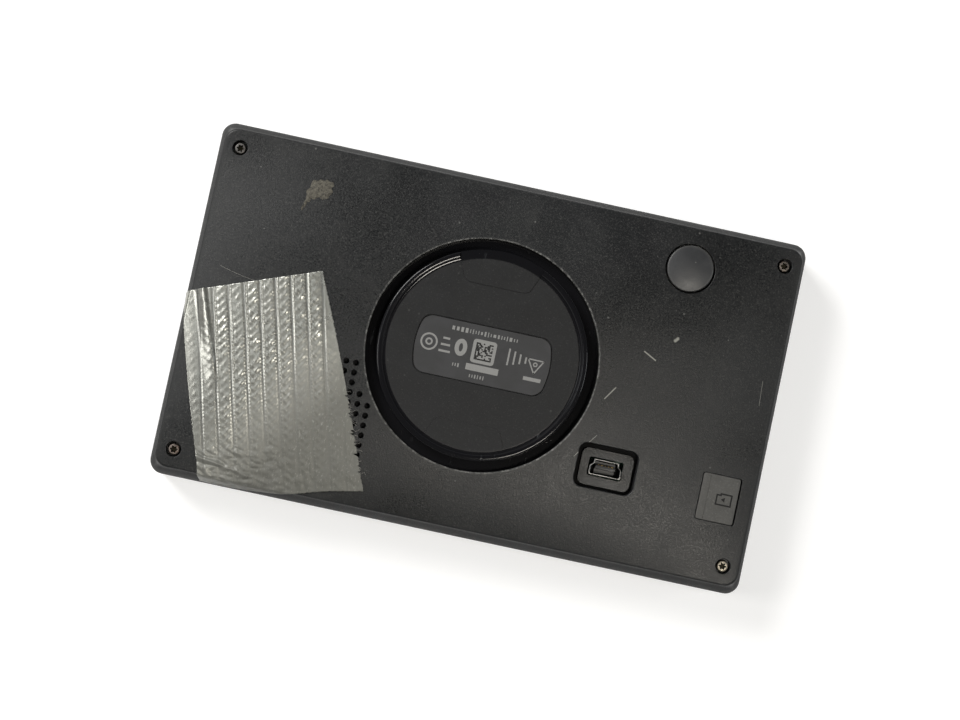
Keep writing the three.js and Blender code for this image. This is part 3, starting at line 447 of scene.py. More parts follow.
def flap_finish():
    """Soft grey moulding: chalky, finely pitted, with darker dirty smears."""
    own = Finish("flap_rubber", Specular_IOR_Level=0.25)
    pits = own.noise(0.42 * MM, detail=4.0, rough=0.75)
    smear = own.noise(3.5 * MM, detail=4.0, rough=0.6, warp=0.5)
    colour = tuple(settings().flap_colour)
    dirty = own.mix(smear.step(0.4, 0.75) * 0.55, colour, tuple(c * 0.72 for c in colour))
    own.set("Base Color", own.mix(pits.step(0.5, 0.7) * 0.5, dirty, tuple(c * 1.8 for c in colour)))
    own.set("Roughness", 0.68 + smear * 0.15)
    own.set("Normal", own.bump(pits + smear * 0.4, 0.03 * MM, 0.7))
    return own.material


# Dark bars: ink on the label's code, and painted shade in the flap sign's engraved lines.
def ink_and_groove_shade_finish():
    own = Finish("ink_and_groove_shade", Specular_IOR_Level=0.3)
    worn = own.noise(0.4 * MM, detail=3.0)
    own.set("Base Color", own.mix(worn.step(0.5, 0.75), (0.003, 0.003, 0.003), (0.012, 0.012, 0.012)))
    own.set("Roughness", 0.5 + worn * 0.2)
    return own.material


def steel_finish(name, colour, rough, rust, hollow=None):
    """Turned and worn metal with a little rust; painted dark as shade below the height given as hollow."""
    own = Finish(name, Metallic=1.0)
    lines = own.noise(0.12 * MM, detail=3.0, rough=0.7)
    stain = own.noise(0.7 * MM, detail=3.0, rough=0.6, warp=0.5)
    dark = tuple(c * 0.45 for c in colour)
    base = own.mix(lines.step(0.4, 0.7), colour, dark)
    stained = own.mix(stain.step(0.5, 0.68) * rust, base, (0.16, 0.07, 0.035))
    if hollow is None:
        own.set("Base Color", stained)
    else:
        # Painted shade: below this height the screw head's sides in the counterbore and its lobed recess are
        # painted dark.
        own.set("Base Color", own.mix(own.z.step(hollow, hollow - 0.2 * MM), stained, (0.02, 0.018, 0.012)))
    own.set("Roughness", rough + stain * 0.25)
    own.set("Metallic", 1 - stain.step(0.5, 0.68) * (0.7 * rust))
    own.set("Normal", own.bump(lines, 0.01 * MM, 0.7))
    return own.material


def socket_finish():
    """Bright tinned steel at the socket's rim, painted dark inside it as shade."""
    own = Finish("socket_steel", Metallic=1.0)
    lines = own.noise(0.15 * MM, detail=3.0, rough=0.7)
    # Painted shade: the shell's inside is painted near-black below its rim.
    inside = own.z.step(USB_TOP - 0.04 * MM, USB_TOP - 0.25 * MM)
    rim = own.mix(lines.step(0.4, 0.7), (0.2, 0.2, 0.195), (0.1, 0.1, 0.097))
    own.set("Base Color", own.mix(inside, rim, (0.012, 0.012, 0.012)))
    own.set("Roughness", 0.25 + lines * 0.15 + inside * 0.3)
    own.set("Normal", own.bump(lines, 0.01 * MM, 0.6))
    return own.material


def moulding_finish(name, colour, rough=0.5, grain_size=0.3):
    """A small moulded part: slight mottling, fine grain."""
    own = Finish(name, Specular_IOR_Level=0.5)
    grain = own.noise(grain_size * MM, detail=3.0)
    mottle = own.noise(3 * MM, detail=3.0, warp=0.4)
    own.set("Base Color", own.mix(mottle.step(0.3, 0.75), colour, tuple(c * 0.78 for c in colour)))
    own.set("Roughness", rough + grain * 0.12)
    own.set("Normal", own.bump(grain, 0.015 * MM, 0.5))
    return own.material


def glass_finish():
    """Dark screen glass behind a printed border, with finger smears."""
    own = Finish("screen_glass", Specular_IOR_Level=0.6)
    smear = own.noise(14 * MM, detail=5.0, rough=0.65, warp=1.4)
    lines = own.noise(0.45 * MM, detail=2.0, where=own.mapped((1, 0.12, 1), 0.5))
    prints = smear.step(0.54, 0.72) * (0.4 + lines * 0.6)
    inside = own.x.magnitude().step(54.5 * MM, 54.2 * MM) * own.y.magnitude().step(30.6 * MM, 30.3 * MM)
    own.set("Base Color", own.mix(inside, (0.004, 0.004, 0.0045), (0.011, 0.013, 0.017)))
    own.set("Roughness", 0.04 + prints * 0.22)
    own.set("Normal", own.bump(prints, 0.004 * MM, 0.4))
    return own.material


def tape_finish():
    """Silver film over a cloth backing: painted darker in the valleys between its ribs as shade, dull and
    soiled at its lower corner.
    """
    own = Finish("tape_film", Specular_IOR_Level=0.6)
    colour = tuple(settings().tape_colour)
    turned = own.mapped((1, 1, 1), -TAPE_RIB_TURN)
    stitches = own.node("ShaderNodeTexWave", {"wave_type": "BANDS", "bands_direction": "Y"}, {
        "Vector": turned, "Scale": 1 / (0.75 * MM) / 20,
        "Distortion": 3.0, "Detail": 2.0, "Detail Scale": 1.5})
    threads = own.noise(0.4 * MM, detail=3.0, rough=0.7, where=own.mapped((1, 0.4, 1), -TAPE_RIB_TURN))
    soil = own.noise(9 * MM, detail=4.0, rough=0.6, warp=0.5)
    corner = ((own.x - TAPE_LOW.x) - (own.y - TAPE_HIGH.y) * 0.85).step(40 * MM, 68 * MM)
    crumple = own.noise(1.5 * MM, detail=4.0, rough=0.75, warp=0.8)
    across = own.x * math.cos(TAPE_RIB_TURN) + own.y * math.sin(TAPE_RIB_TURN)
    # Painted shade: the valleys between the ribs are painted darker.
    valley_shade = ((across / TAPE_RIB_PITCH).fraction() - 0.5).magnitude().step(0.38, 0.48) * (1 - corner)
    warm = own.mix(corner * 0.9, colour, (0.086, 0.086, 0.074))
    grey = own.mix(soil.step(0.45, 0.75) * 0.3, warm, (0.13, 0.13, 0.122))
    valley_shaded = own.mix(valley_shade * 0.5, grey, (0.075, 0.077, 0.076))
    own.set("Base Color", own.mix(threads.step(0.55, 0.75) * 0.3, valley_shaded, tuple(c * 1.5 for c in colour)))
    own.set("Metallic", 0.7 - corner * 0.55)
    own.set("Roughness", (0.23 + corner * 0.25 + soil.step(0.4, 0.8) * 0.1 + threads * 0.06).clamped())
    height = stitches * 0.35 + threads * 0.3 + crumple * 0.8
    own.set("Normal", own.bump(height, 0.045 * MM, 0.7))
    return own.material


def thread_finish():
    own = Finish("loose_thread", Specular_IOR_Level=0.3)
    twist = own.noise(0.2 * MM, detail=2.0)
    own.set("Base Color", own.mix(twist.step(0.4, 0.7), (0.32, 0.31, 0.29), (0.12, 0.115, 0.105)))
    own.set("Roughness", 0.6 + twist * 0.2)
    return own.material


def residue_finish():
    """Dried glue with grey-brown dirt pressed into it."""
    own = Finish("glue_residue", Specular_IOR_Level=0.4)
    dirt = own.noise(0.7 * MM, detail=5.0, rough=0.75, warp=0.8)
    fine = own.noise(0.2 * MM, detail=3.0, rough=0.7)
    base = own.mix(dirt.step(0.38, 0.66), (0.09, 0.083, 0.064), (0.022, 0.02, 0.016))
    own.set("Base Color", own.mix(fine.step(0.6, 0.8), base, (0.16, 0.15, 0.12)))
    own.set("Roughness", 0.55 + dirt * 0.3)
    own.set("Normal", own.bump(dirt + fine * 0.4, 0.1 * MM, 0.8))
    return own.material


# ---- Finishes of the inside ----


def board_finish():
    """Green solder mask over tracks, with tinned pads and printed outlines."""
    own = Finish("circuit_board", Specular_IOR_Level=0.5)
    tracks = own.node("ShaderNodeTexBrick", {"offset": 0.35, "squash": 1.6}, {
        "Vector": own.place, "Scale": 420.0, "Mortar Size": 0.03,
        "Color1": (0, 0, 0), "Color2": (0.2, 0.2, 0.2),
        "Mortar": (1, 1, 1)})
    pads = own.cells(2.6 * MM, "DISTANCE_TO_EDGE").step(0.12, 0.2) * own.cells(2.6 * MM).step(0.2, 0.12)
    line = own.node("ShaderNodeSeparateColor", {}, {0: tracks})
    mask = own.mix(line * 0.6, (0.012, 0.06, 0.035), (0.03, 0.13, 0.075))
    own.set("Base Color", own.mix(pads, mask, (0.6, 0.6, 0.57)))
    own.set("Metallic", pads * 0.9)
    own.set("Roughness", 0.38 - pads * 0.1)
    own.set("Normal", own.bump(line + pads, 0.03 * MM, 0.5))
    return own.material


def ceramic_finish():
    own = Finish("antenna_ceramic", Specular_IOR_Level=0.5)
    patch_top = (own.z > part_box("gps_antenna")[1].z - 0.25 * MM)
    grain = own.noise(0.3 * MM, detail=4.0)
    base = own.mix(grain.step(0.4, 0.7), (0.62, 0.57, 0.46), (0.5, 0.46, 0.37))
    silver = own.mix(grain.step(0.3, 0.7), (0.7, 0.7, 0.68), (0.55, 0.55, 0.54))
    own.set("Base Color", own.mix(patch_top, base, silver))
    own.set("Metallic", patch_top * 1.0)
    own.set("Roughness", 0.5 - patch_top * 0.2 + grain * 0.1)
    return own.material


def ribbon_finish():
    """Amber film with parallel copper tracks."""
    own = Finish("ribbon_film", Specular_IOR_Level=0.5)
    tracks = (own.x * (2 * math.pi / (0.5 * MM))).sine().step(0.1, 0.5)
    stain = own.noise(2 * MM, detail=3.0)
    base = own.mix(tracks, (0.42, 0.17, 0.04), (0.6, 0.3, 0.1))
    own.set("Base Color", own.mix(stain.step(0.5, 0.8) * 0.3, base, (0.25, 0.1, 0.03)))
    own.set("Roughness", 0.32 + stain * 0.1)
    own.set("Normal", own.bump(tracks, 0.02 * MM, 0.4))
    return own.material


def foam_finish():
    own = Finish("foam", Specular_IOR_Level=0.2)
    pores = own.cells(0.35 * MM)
    fluff = own.noise(0.8 * MM, detail=4.0, rough=0.7)
    own.set("Base Color", own.mix(pores.step(0.2, 0.6), (0.004, 0.004, 0.004), (0.014, 0.014, 0.015)))
    own.set("Roughness", 0.9 + fluff * 0.1)
    own.set("Normal", own.bump(pores + fluff, 0.08 * MM, 0.8))
    return own.material


def node_finishes():
    """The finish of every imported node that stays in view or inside."""
    moulded = moulding_finish
    finishes = {
        "screen_glass": glass_finish(),
        "foam": foam_finish(),
        "circuit_board": board_finish(),
        "ceramic": ceramic_finish(),
        "ribbon_film": ribbon_finish(),
        "spring_steel": steel_finish("spring_steel", (0.62, 0.63, 0.64), 0.25, 0.0),
        "nickel": steel_finish("bright_nickel", (0.58, 0.55, 0.5), 0.25, 0.1),
        "magnesium": steel_finish("magnesium_casting", (0.42, 0.43, 0.44), 0.4, 0.0),
        "light_guide": moulded("light_guide", (0.6, 0.61, 0.62), 0.35),
        "white_nylon": moulded("white_nylon", (0.66, 0.64, 0.56), 0.5),
        "black_nylon": moulded("black_nylon", (0.012, 0.012, 0.013), 0.45),
        "battery_wrap": moulded("battery_wrap", (0.03, 0.06, 0.16), 0.35),
        "red_wire": moulded("red_wire", (0.4, 0.02, 0.015), 0.4),
        "black_wire": moulded("black_wire", (0.01, 0.01, 0.01), 0.4),
        "paper": moulded("pressed_paper", (0.03, 0.028, 0.025), 0.85, 0.6),
    }
    return finishes


# ---- Mesh helpers ----


def rear_face(x, y):
    """Height of the domed rear face."""
    own = settings()
    across = 1 - min(1.0, abs(x / HALF_X)) ** 3
    along = 1 - min(1.0, abs(y / HALF_Y)) ** 3
    return own.edge_height + own.dome_rise * across * along


def rear_normal(x, y):
    step = 0.1 * MM
    slope_x = (rear_face(x + step, y) - rear_face(x - step, y)) / (2 * step)
    slope_y = (rear_face(x, y + step) - rear_face(x, y - step)) / (2 * step)
    return Vector((-slope_x, -slope_y, 1)).normalized()


def tower(middle, half, levels, corner=None, sides=64, steps=8):
    """A closed solid: one outline carried up through (height, growth) levels.

    half is the outline's half size in x and y. With a corner radius it is a rounded
    rectangle, and without one an ellipse of that many sides.
    """
    made = bmesh.new()
    if corner is None:
        bmesh.ops.create_circle(made, cap_ends=True, segments=sides, radius=1.0)
        bmesh.ops.scale(made, vec=(half[0], half[1], 1), verts=made.verts)
    else:
        bmesh.ops.create_grid(made, x_segments=1, y_segments=1, size=1.0)
        bmesh.ops.scale(made, vec=(half[0], half[1], 1), verts=made.verts)
        bmesh.ops.bevel(made, geom=made.verts[:], offset=corner, offset_type="OFFSET", segments=steps,
                        profile=0.5, affect="VERTICES", material=-1)
    foot, growth = levels[0]
    grow(made.verts, half, 0.0, growth)
    bmesh.ops.translate(made, vec=(0, 0, foot), verts=made.verts)
    face = next(iter(made.faces))
    for i, (height, wider) in enumerate(levels[1:]):
        lifted = bmesh.ops.extrude_face_region(made, geom=[face], use_keep_orig=True)
        if i:
            bmesh.ops.delete(made, geom=[face], context="FACES_ONLY")
        face = next(item for item in lifted["geom"] if isinstance(item, bmesh.types.BMFace))
        points = list(face.verts)
        for point in points:
            point.co.z = height
        grow(points, half, growth, wider)
        growth = wider
    bmesh.ops.translate(made, vec=(middle[0], middle[1], 0), verts=made.verts)
    bmesh.ops.recalc_face_normals(made, faces=made.faces)
    return made


def grow(points, half, before, after):
    """Moves an outline's points out from one growth to another, by its half sizes."""
    before_x, before_y = before if isinstance(before, tuple) else (before, before)
    after_x, after_y = after if isinstance(after, tuple) else (after, after)
    for point in points:
        point.co.x *= (half[0] + after_x) / (half[0] + before_x)
        point.co.y *= (half[1] + after_y) / (half[1] + before_y)


def lathe(profile, middle, segments=96):
    """A closed solid spun from (radius, height) pairs that start and end on the axis."""
    made = bmesh.new()
    points = [made.verts.new((radius, 0, height)) for radius, height in profile]
    edges = [made.edges.new(pair) for pair in zip(points, points[1:])]
    bmesh.ops.spin(made, geom=points + edges, axis=(0, 0, 1), cent=(0, 0, 0), steps=segments,
                   angle=2 * math.pi, use_merge=True, use_duplicate=False)
    bmesh.ops.remove_doubles(made, verts=made.verts, dist=0.0005 * MM)
    bmesh.ops.recalc_face_normals(made, faces=made.faces)
    bmesh.ops.translate(made, vec=(middle[0], middle[1], 0), verts=made.verts)
    return made


def temporary(made):
    mesh = bpy.data.meshes.new("working")
    made.to_mesh(mesh)
    made.free()
    body = bpy.data.objects.new("working", mesh)
    bpy.context.collection.objects.link(body)
    return body


def combined(base, *steps):
    """Joins and cuts solids: base, then ("UNION" or "DIFFERENCE", solid) pairs in order."""
    body = temporary(base)
    tools = []
    for operation, tool in steps:
        other = temporary(tool)
        tools.append(other)
        change = body.modifiers.new("cut", "BOOLEAN")
        change.operation = operation
        change.object = other
        change.solver = "MANIFOLD"
    bpy.context.view_layer.update()
    shown = body.evaluated_get(bpy.context.evaluated_depsgraph_get())
    made = bmesh.new()
    made.from_mesh(shown.to_mesh())
    shown.to_mesh_clear()
    for item in (body, *tools):
        mesh = item.data
        bpy.data.objects.remove(item)
        bpy.data.meshes.remove(mesh)
    bmesh.ops.remove_doubles(made, verts=made.verts, dist=0.0005 * MM)
    bmesh.ops.dissolve_degenerate(made, edges=made.edges, dist=0.0002 * MM)
    return made


def slices(made, axis, places):
    """Divides faces by planes across an axis, so that they can follow a curve."""
    normal = Vector((0, 0, 0))
    normal[axis] = 1
    for place in places:
        point = Vector((0, 0, 0))
        point[axis] = place
        everything = made.verts[:] + made.edges[:] + made.faces[:]
        bmesh.ops.bisect_plane(made, geom=everything, plane_co=point, plane_no=normal, dist=0.0005 * MM)


def piece(name, made, material, body="case", replaces=(), crease=32.0):
    """Turns a mesh into a finished piece that rides on a CAD body."""
    mesh = bpy.data.meshes.new(name)
    made.to_mesh(mesh)
    made.free()
    mesh.polygons.foreach_set("use_smooth", [True] * len(mesh.polygons))
    mesh.set_sharp_from_angle(angle=math.radians(crease))
    mesh.materials.append(material)
    item = bpy.data.objects.new(name, mesh)
    bpy.context.collection.objects.link(item)
    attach(item, body)
    if replaces:
        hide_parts(*replaces)
    return item


def spaced(start, end, step):
    count = max(1, round((end - start) / step))
    return [start + (end - start) * i / count for i in range(1, count)]


def follow_dome(made, full_above, none_below):
    """Lifts a piece made under a flat face until that face is the domed one."""
    flat = settings().edge_height
    for point in made.verts:
        share = (point.co.z - none_below) / (full_above - none_below)
        share = min(1.0, max(0.0, share))
        share = share * share * (3 - 2 * share)
        point.co.z += share * (rear_face(point.co.x, point.co.y) - flat)


# ---- The rear cover ----


def rounded(top, radius, steps=4):
    """Levels of an edge that rolls inwards to a top height."""
    made = []
    for i in range(steps + 1):
        angle = i / steps * math.pi / 2
        made.append((top - radius + radius * math.sin(angle), -radius + radius * math.cos(angle)))
    return made


def flared(low, top, radius, steps=3, past=1.0 * MM):
    """Levels of a cutter whose mouth rolls outwards at a top height."""
    made = [(low, 0.0)]
    for i in range(steps + 1):
        angle = i / steps * math.pi / 2
        made.append((top - radius + radius * math.sin(angle), radius - radius * math.cos(angle)))
    return made + [(top + past, radius)]


def grille_places():
    for row in range(GRILLE_COUNT):
        for column in range(GRILLE_COUNT):
            x = GRILLE_LEFT + column * GRILLE_PITCH - HALF_X
            y = GRILLE_LOW + row * GRILLE_PITCH - HALF_Y
            if math.hypot(x - RING.x, y - RING.y) >= GRILLE_CLEAR + GRILLE_HOLE:
                yield x, y


def cover_outside():
    own = settings()
    flat = own.edge_height
    levels = [(SEAM_TOP, -0.12 * MM), (SEAM_TOP + 0.12 * MM, 0.0), (SHOULDER_START, 0.0)]
    lean_steps = 7
    top = flat - own.rim_round
    for i in range(1, lean_steps + 1):
        share = i / lean_steps
        height = SHOULDER_START + (top - SHOULDER_START) * share
        levels.append((height, (-LEAN_X * share ** 2 * 0.86, -LEAN_Y * share ** 2 * 0.86)))
    for height, inset in rounded(flat, own.rim_round, 5)[1:]:
        levels.append((height, (-LEAN_X * 0.86 + inset, -LEAN_Y * 0.86 + inset)))
    return tower((0, 0), (HALF_X, HALF_Y), levels, corner=CORNER, steps=12)


def cover_inside():
    top = settings().edge_height - WALL
    levels = [(SEAM_TOP - MM, 0.0), (SHOULDER_START, 0.0), (top - MM, -1.2 * MM), (top, -2.0 * MM)]
    return tower((0, 0), (HALF_X - WALL, HALF_Y - WALL), levels, corner=CORNER - WALL, steps=4)


def usb_recess():
    """Half sizes, corner and depth of the recess round the mini-B socket."""
    return (7.0 * MM, 5.125 * MM), 2.0 * MM, 2.6 * MM


def card_ramp(flat, wall):
    """The card recess as a solid, in the cover's flat state: deep where the card goes in."""
    low, high = FLAP_LOW, FLAP_HIGH
    room = FLAP_SPREAD + 0.05 * MM
    left_room = 0.1 * MM
    hinge_room = 0.16 * MM
    deep = 5.0 * MM
    shallow = 1.5 * MM
    middle = ((low.x + high.x - left_room + hinge_room) / 2, (low.y + high.y) / 2)
    half = ((high.x - low.x + left_room + hinge_room) / 2 + room + wall, (high.y - low.y) / 2 + room + wall)
    foot = flat - deep - wall
    radius = 0.15 * MM
    levels = flared(foot, flat, radius) if not wall else [(foot, 0.0), (flat - 0.9 * MM, 0.0)]
    made = tower(middle, half, levels, corner=0.5 * MM, steps=4)
    rise = (deep - shallow) / (2 * half[0])
    for point in made.verts:
        if point.co.z < foot + 0.01 * MM:
            point.co.z += rise * max(0.0, point.co.x - (middle[0] - half[0]) - MM)
    return made


def rear_cover_mesh():
    own = settings()
    flat = own.edge_height
    ring = (RING.x, RING.y)
    button = (BUTTON.x, BUTTON.y)
    usb = (USB.x, USB.y)
    recess_half, recess_corner, recess_depth = usb_recess()
    usb_wall = 1.2 * MM
    well = (recess_half[0] + usb_wall, recess_half[1] + usb_wall)
    screw_spots = [box_middle(name) for name in SCREWS]
    join, cut = "UNION", "DIFFERENCE"
    button_hole = BUTTON_FLANGE - FLANGE_REACH
    seat = flat - 2.15 * MM
    steps = [(cut, cover_inside())]
    steps.append((join, tower(ring, (COLLAR_RADIUS,) * 2, [(12.6 * MM, 0), (flat - MM, 0)], sides=96)))
    steps.append((join, tower(button, (BUTTON_FLANGE + 1.2 * MM,) * 2, [(seat, 0), (flat - MM, 0)])))
    steps.append((join, tower(usb, well, [(flat - 3.8 * MM, 0), (flat - MM, 0)], corner=recess_corner)))
    steps.append((join, card_ramp(flat, 1.2 * MM)))
    for spot in screw_spots:
        steps.append((join, tower(spot, (3.08 * MM,) * 2, [(8.8 * MM, 0), (flat - MM, 0)], sides=32)))
    steps.append((cut, tower(ring, (GROOVE_RADIUS,) * 2, flared(5 * MM, flat, 0.3 * MM), sides=160)))
    steps.append((cut, tower(button, (button_hole,) * 2, flared(5 * MM, flat, 0.16 * MM), sides=96)))
    steps.append((cut, tower(button, (BUTTON_FLANGE + 0.3 * MM,) * 2, [(5 * MM, 0), (seat, 0)])))
    recess = flared(flat - recess_depth, flat, 0.22 * MM)
    steps.append((cut, tower(usb, recess_half, recess, corner=recess_corner, steps=8)))
    pad_half = (recess_half[0] - 0.92 * MM, recess_half[1] - 0.88 * MM)
    pad_spot = (usb[0] + 0.16 * MM, usb[1] - 0.14 * MM)
    deep = [(flat - recess_depth - MM, 0.0), (flat - recess_depth + 0.1 * MM, 0.0)]
    pad = flared(flat - recess_depth - 2 * MM, flat - recess_depth, -0.15 * MM, past=MM)
    moat = combined(tower(usb, recess_half, deep, corner=recess_corner, steps=8),
                    (cut, tower(pad_spot, pad_half, pad, corner=1.5 * MM, steps=8)))
    steps.append((cut, moat))
    mouth = (box_size("usb_shell").x / 2 + 0.3 * MM, box_size("usb_shell").y / 2 + 0.3 * MM)
    steps.append((cut, tower(usb, mouth, [(5 * MM, 0), (flat, 0)], corner=0.5 * MM, steps=4)))
    steps.append((cut, card_ramp(flat, 0.0)))
    slot_middle = (FLAP_LOW.x - 1.2 * MM, (FLAP_LOW.y + FLAP_HIGH.y) / 2)
    slot = [(flat - 5.0 * MM, 0), (flat - 3.9 * MM, 0)]
    steps.append((cut, tower(slot_middle, (2 * MM, 5.6 * MM), slot, corner=0.2 * MM, steps=2)))
    for spot in screw_spots:
        bore = flared(flat - 2.2 * MM, flat, 0.14 * MM)
        steps.append((cut, tower(spot, (1.76 * MM,) * 2, bore, sides=48)))
        steps.append((cut, tower(spot, (1.2 * MM,) * 2, [(5 * MM, 0), (flat, 0)], sides=24)))
    made = combined(cover_outside(), *steps)
    holes = bmesh.new()
    for spot in grille_places():
        bore = tower(spot, (GRILLE_HOLE,) * 2, flared(flat - 3 * MM, flat, 0.1 * MM, steps=1), sides=20)
        mesh = bpy.data.meshes.new("bore")
        bore.to_mesh(mesh)
        bore.free()
        holes.from_mesh(mesh)
        bpy.data.meshes.remove(mesh)
    made = combined(made, (cut, holes))
    bmesh.ops.triangulate(made, faces=made.faces)
    slices(made, 0, spaced(-HALF_X, HALF_X, 3.4 * MM))
    slices(made, 1, spaced(-HALF_Y, HALF_Y, 3.4 * MM))
    follow_dome(made, 12 * MM, 8 * MM)
    for point in made.verts:
        near_ring = math.hypot(point.co.x - RING.x, point.co.y - RING.y) < COLLAR_RADIUS + 0.01 * MM
        if near_ring and point.co.z < GROOVE_FLOOR + 0.05 * MM:
            point.co.z = GROOVE_FLOOR + 0.05 * MM
    bmesh.ops.dissolve_degenerate(made, edges=made.edges, dist=0.0002 * MM)
    return made


def follow_normals(item, reach=40.0):
    """Gives the points that lie on the rear face that face's own normals."""
    mesh = item.data
    limit = math.cos(math.radians(reach))
    normals = [Vector(corner.vector) for corner in mesh.corner_normals]
    for face in mesh.polygons:
        for loop in face.loop_indices:
            spot = mesh.vertices[mesh.loops[loop].vertex_index].co
            if abs(spot.z - rear_face(spot.x, spot.y)) > 0.002 * MM:
                continue
            wanted = rear_normal(spot.x, spot.y)
            if face.normal.dot(wanted) > limit:
                normals[loop] = wanted
    mesh.normals_split_custom_set(normals)


def glue_patch():
    """Flattened lumps of dried glue near the upper left corner."""
    made = bmesh.new()
    lumps = [
        (-44.6, 30.0, 2.2, 2.1), (-45.9, 28.6, 1.5, 1.3), (-43.2, 31.2, 1.5, 1.1), (-43.4, 28.8, 1.3, 1.0),
        (-46.7, 27.2, 0.55, 0.8), (-47.2, 26.0, 0.3, 0.9), (-47.6, 24.9, 0.22, 0.7), (-42.3, 29.8, 0.8, 0.7),
    ]
    for x, y, wide, tall in lumps:
        lump = bmesh.ops.create_icosphere(made, subdivisions=4, radius=1.0)["verts"]
        for point in lump:
            place = point.co.copy()
            swell = 1 + 0.34 * noise.noise(place * 1.9 + Vector((x, y, 0)))
            bumpy = 1 + 0.6 * noise.noise(place * 5 + Vector((y, x, 3)))
            spot_x = (x + place.x * wide * swell) * MM
            spot_y = (y + place.y * tall * swell) * MM
            lift = 0.17 * MM * place.z * bumpy if place.z > 0 else -0.02 * MM
            point.co = (spot_x, spot_y, rear_face(spot_x, spot_y) + lift)
    bmesh.ops.recalc_face_normals(made, faces=made.faces)
    return made


class NAVIGATOR_OT_cover(bpy.types.Operator):
    """Builds the domed rear cover with its openings, and the glue left on it"""

    bl_idname = "navigator.cover"
    bl_label = "Rear cover"

    def execute(self, context):
        cover = piece("cover_shell", rear_cover_mesh(), cover_finish(),
                      replaces=["rear_cover"])
        follow_normals(cover)
        piece("glue_residue", glue_patch(), residue_finish(), crease=70)
        return {"FINISHED"}


# ---- The bezel ----


def bezel_mesh():
    low = CASE_LOW.z
    top = SEAM_TOP - SEAM_GAP
    window = (HALF_X - 14.8 * MM, HALF_Y - 10.5 * MM)
    lip = 1.6 * MM
    radius = 1.1 * MM
    levels = []
    for height, inset in reversed(rounded(0.0, radius, 6)):
        levels.append((low - height, inset))
    levels += [(top - 0.12 * MM, 0.0), (top, -0.12 * MM)]
    outside = tower((0, 0), (HALF_X, HALF_Y), levels, corner=CORNER, steps=12)
    hollow = [(low + lip, 0), (top + MM, 0)]
    inside = tower((0, 0), (HALF_X - WALL, HALF_Y - WALL), hollow, corner=1.4 * MM, steps=4)
    tongue_half = (HALF_X - WALL - 0.2 * MM, HALF_Y - WALL - 0.2 * MM)
    tongue = tower((0, 0), tongue_half, [(low + lip, 0), (top + MM, 0)], corner=1.2 * MM, steps=4)
    core_half = tuple(size - 0.8 * MM for size in tongue_half)
    core = tower((0, 0), core_half, [(low + lip, 0), (top + 2 * MM, 0)], corner=0.5 * MM, steps=3)
    mouth = [(low - MM, 0.25 * MM), (low, 0.25 * MM), (low + 0.25 * MM, 0), (low + lip + MM, 0)]
    opening = tower((0, 0), window, mouth, corner=0.8 * MM, steps=6)
    cut = "DIFFERENCE"
    steps = [(cut, inside), ("UNION", combined(tongue, (cut, core))), (cut, opening)]
    for name in SCREWS:
        spot = box_middle(name)
        steps.append(("UNION", tower(spot, (2.2 * MM,) * 2, [(low + MM, 0), (7 * MM, 0)], sides=24)))
        steps.append((cut, tower(spot, (1.05 * MM,) * 2, [(3 * MM, 0), (8 * MM, 0)], sides=24)))
    return combined(outside, *steps)


class NAVIGATOR_OT_bezel(bpy.types.Operator):
    """Builds the rounded front bezel with its window"""

    bl_idname = "navigator.bezel"
    bl_label = "Front bezel"

    def execute(self, context):
        piece("bezel_shell", bezel_mesh(), bezel_finish(), replaces=["front_bezel"])
        return {"FINISHED"}


# ---- The mount plate and its label ----

LIP_RADIUS = 24.3 * MM
LIP_INNER = 22.55 * MM
NECK_RADIUS = 23.0 * MM
DISC_FACE = LIP_TOP - 0.6 * MM
LABEL_HALF = (15.95 * MM, 6.85 * MM)
LABEL_SUNK = 0.6 * MM


def pad_outline(side, low, top, chamfer):
    """A pad of the disc: wide at the lip, narrower towards the label, with cut corners."""
    reach = 15.85 * MM
    shoulder = 21.4 * MM
    narrow = 7.6 * MM
    wide = 9.85 * MM
    corner = 1.1 * MM
    edge = LIP_RADIUS + MM
    made = bmesh.new()
    half = [(narrow - corner, reach), (narrow + 0.15 * MM, reach + 0.6 * MM), (wide, shoulder), (wide, edge)]
    outline = half + [(-x, y) for x, y in reversed(half)]
    face = made.faces.new([made.verts.new((x, side * y, low)) for x, y in outline])
    bmesh.ops.recalc_face_normals(made, faces=[face])
    lifted = bmesh.ops.extrude_face_region(made, geom=[face], use_keep_orig=True)
    points = [item for item in lifted["geom"] if isinstance(item, bmesh.types.BMVert)]
    middle = side * (reach + edge) / 2
    for point in points:
        point.co.z = top
        point.co.x *= 1 + chamfer / wide
        point.co.y = middle + (point.co.y - middle) * (1 + 2 * chamfer / (edge - reach))
    bmesh.ops.translate(made, vec=(RING.x, RING.y, 0), verts=made.verts)
    bmesh.ops.recalc_face_normals(made, faces=made.faces)
    return made


def label_outline(inset, low, top, flare=0.0):
    """The label's form: straight long sides and gently bowed ends."""
    half = (LABEL_HALF[0] - inset, LABEL_HALF[1] - inset)
    levels = [(low, 0.0), (top - flare, 0.0), (top, flare)] if flare else [(low, 0.0), (top, 0.0)]
    made = tower((0, 0), half, levels, corner=1.9 * MM, steps=6)
    slices(made, 1, spaced(-half[1], half[1], 0.7 * MM))
    for point in made.verts:
        bow = 1.25 * MM * (point.co.y / half[1]) ** 2
        point.co.x -= math.copysign(bow * min(1.0, abs(point.co.x) / (half[0] * 0.8)), point.co.x)
    bmesh.ops.triangulate(made, faces=made.faces)
    bmesh.ops.translate(made, vec=(RING.x, RING.y, 0), verts=made.verts)
    return made


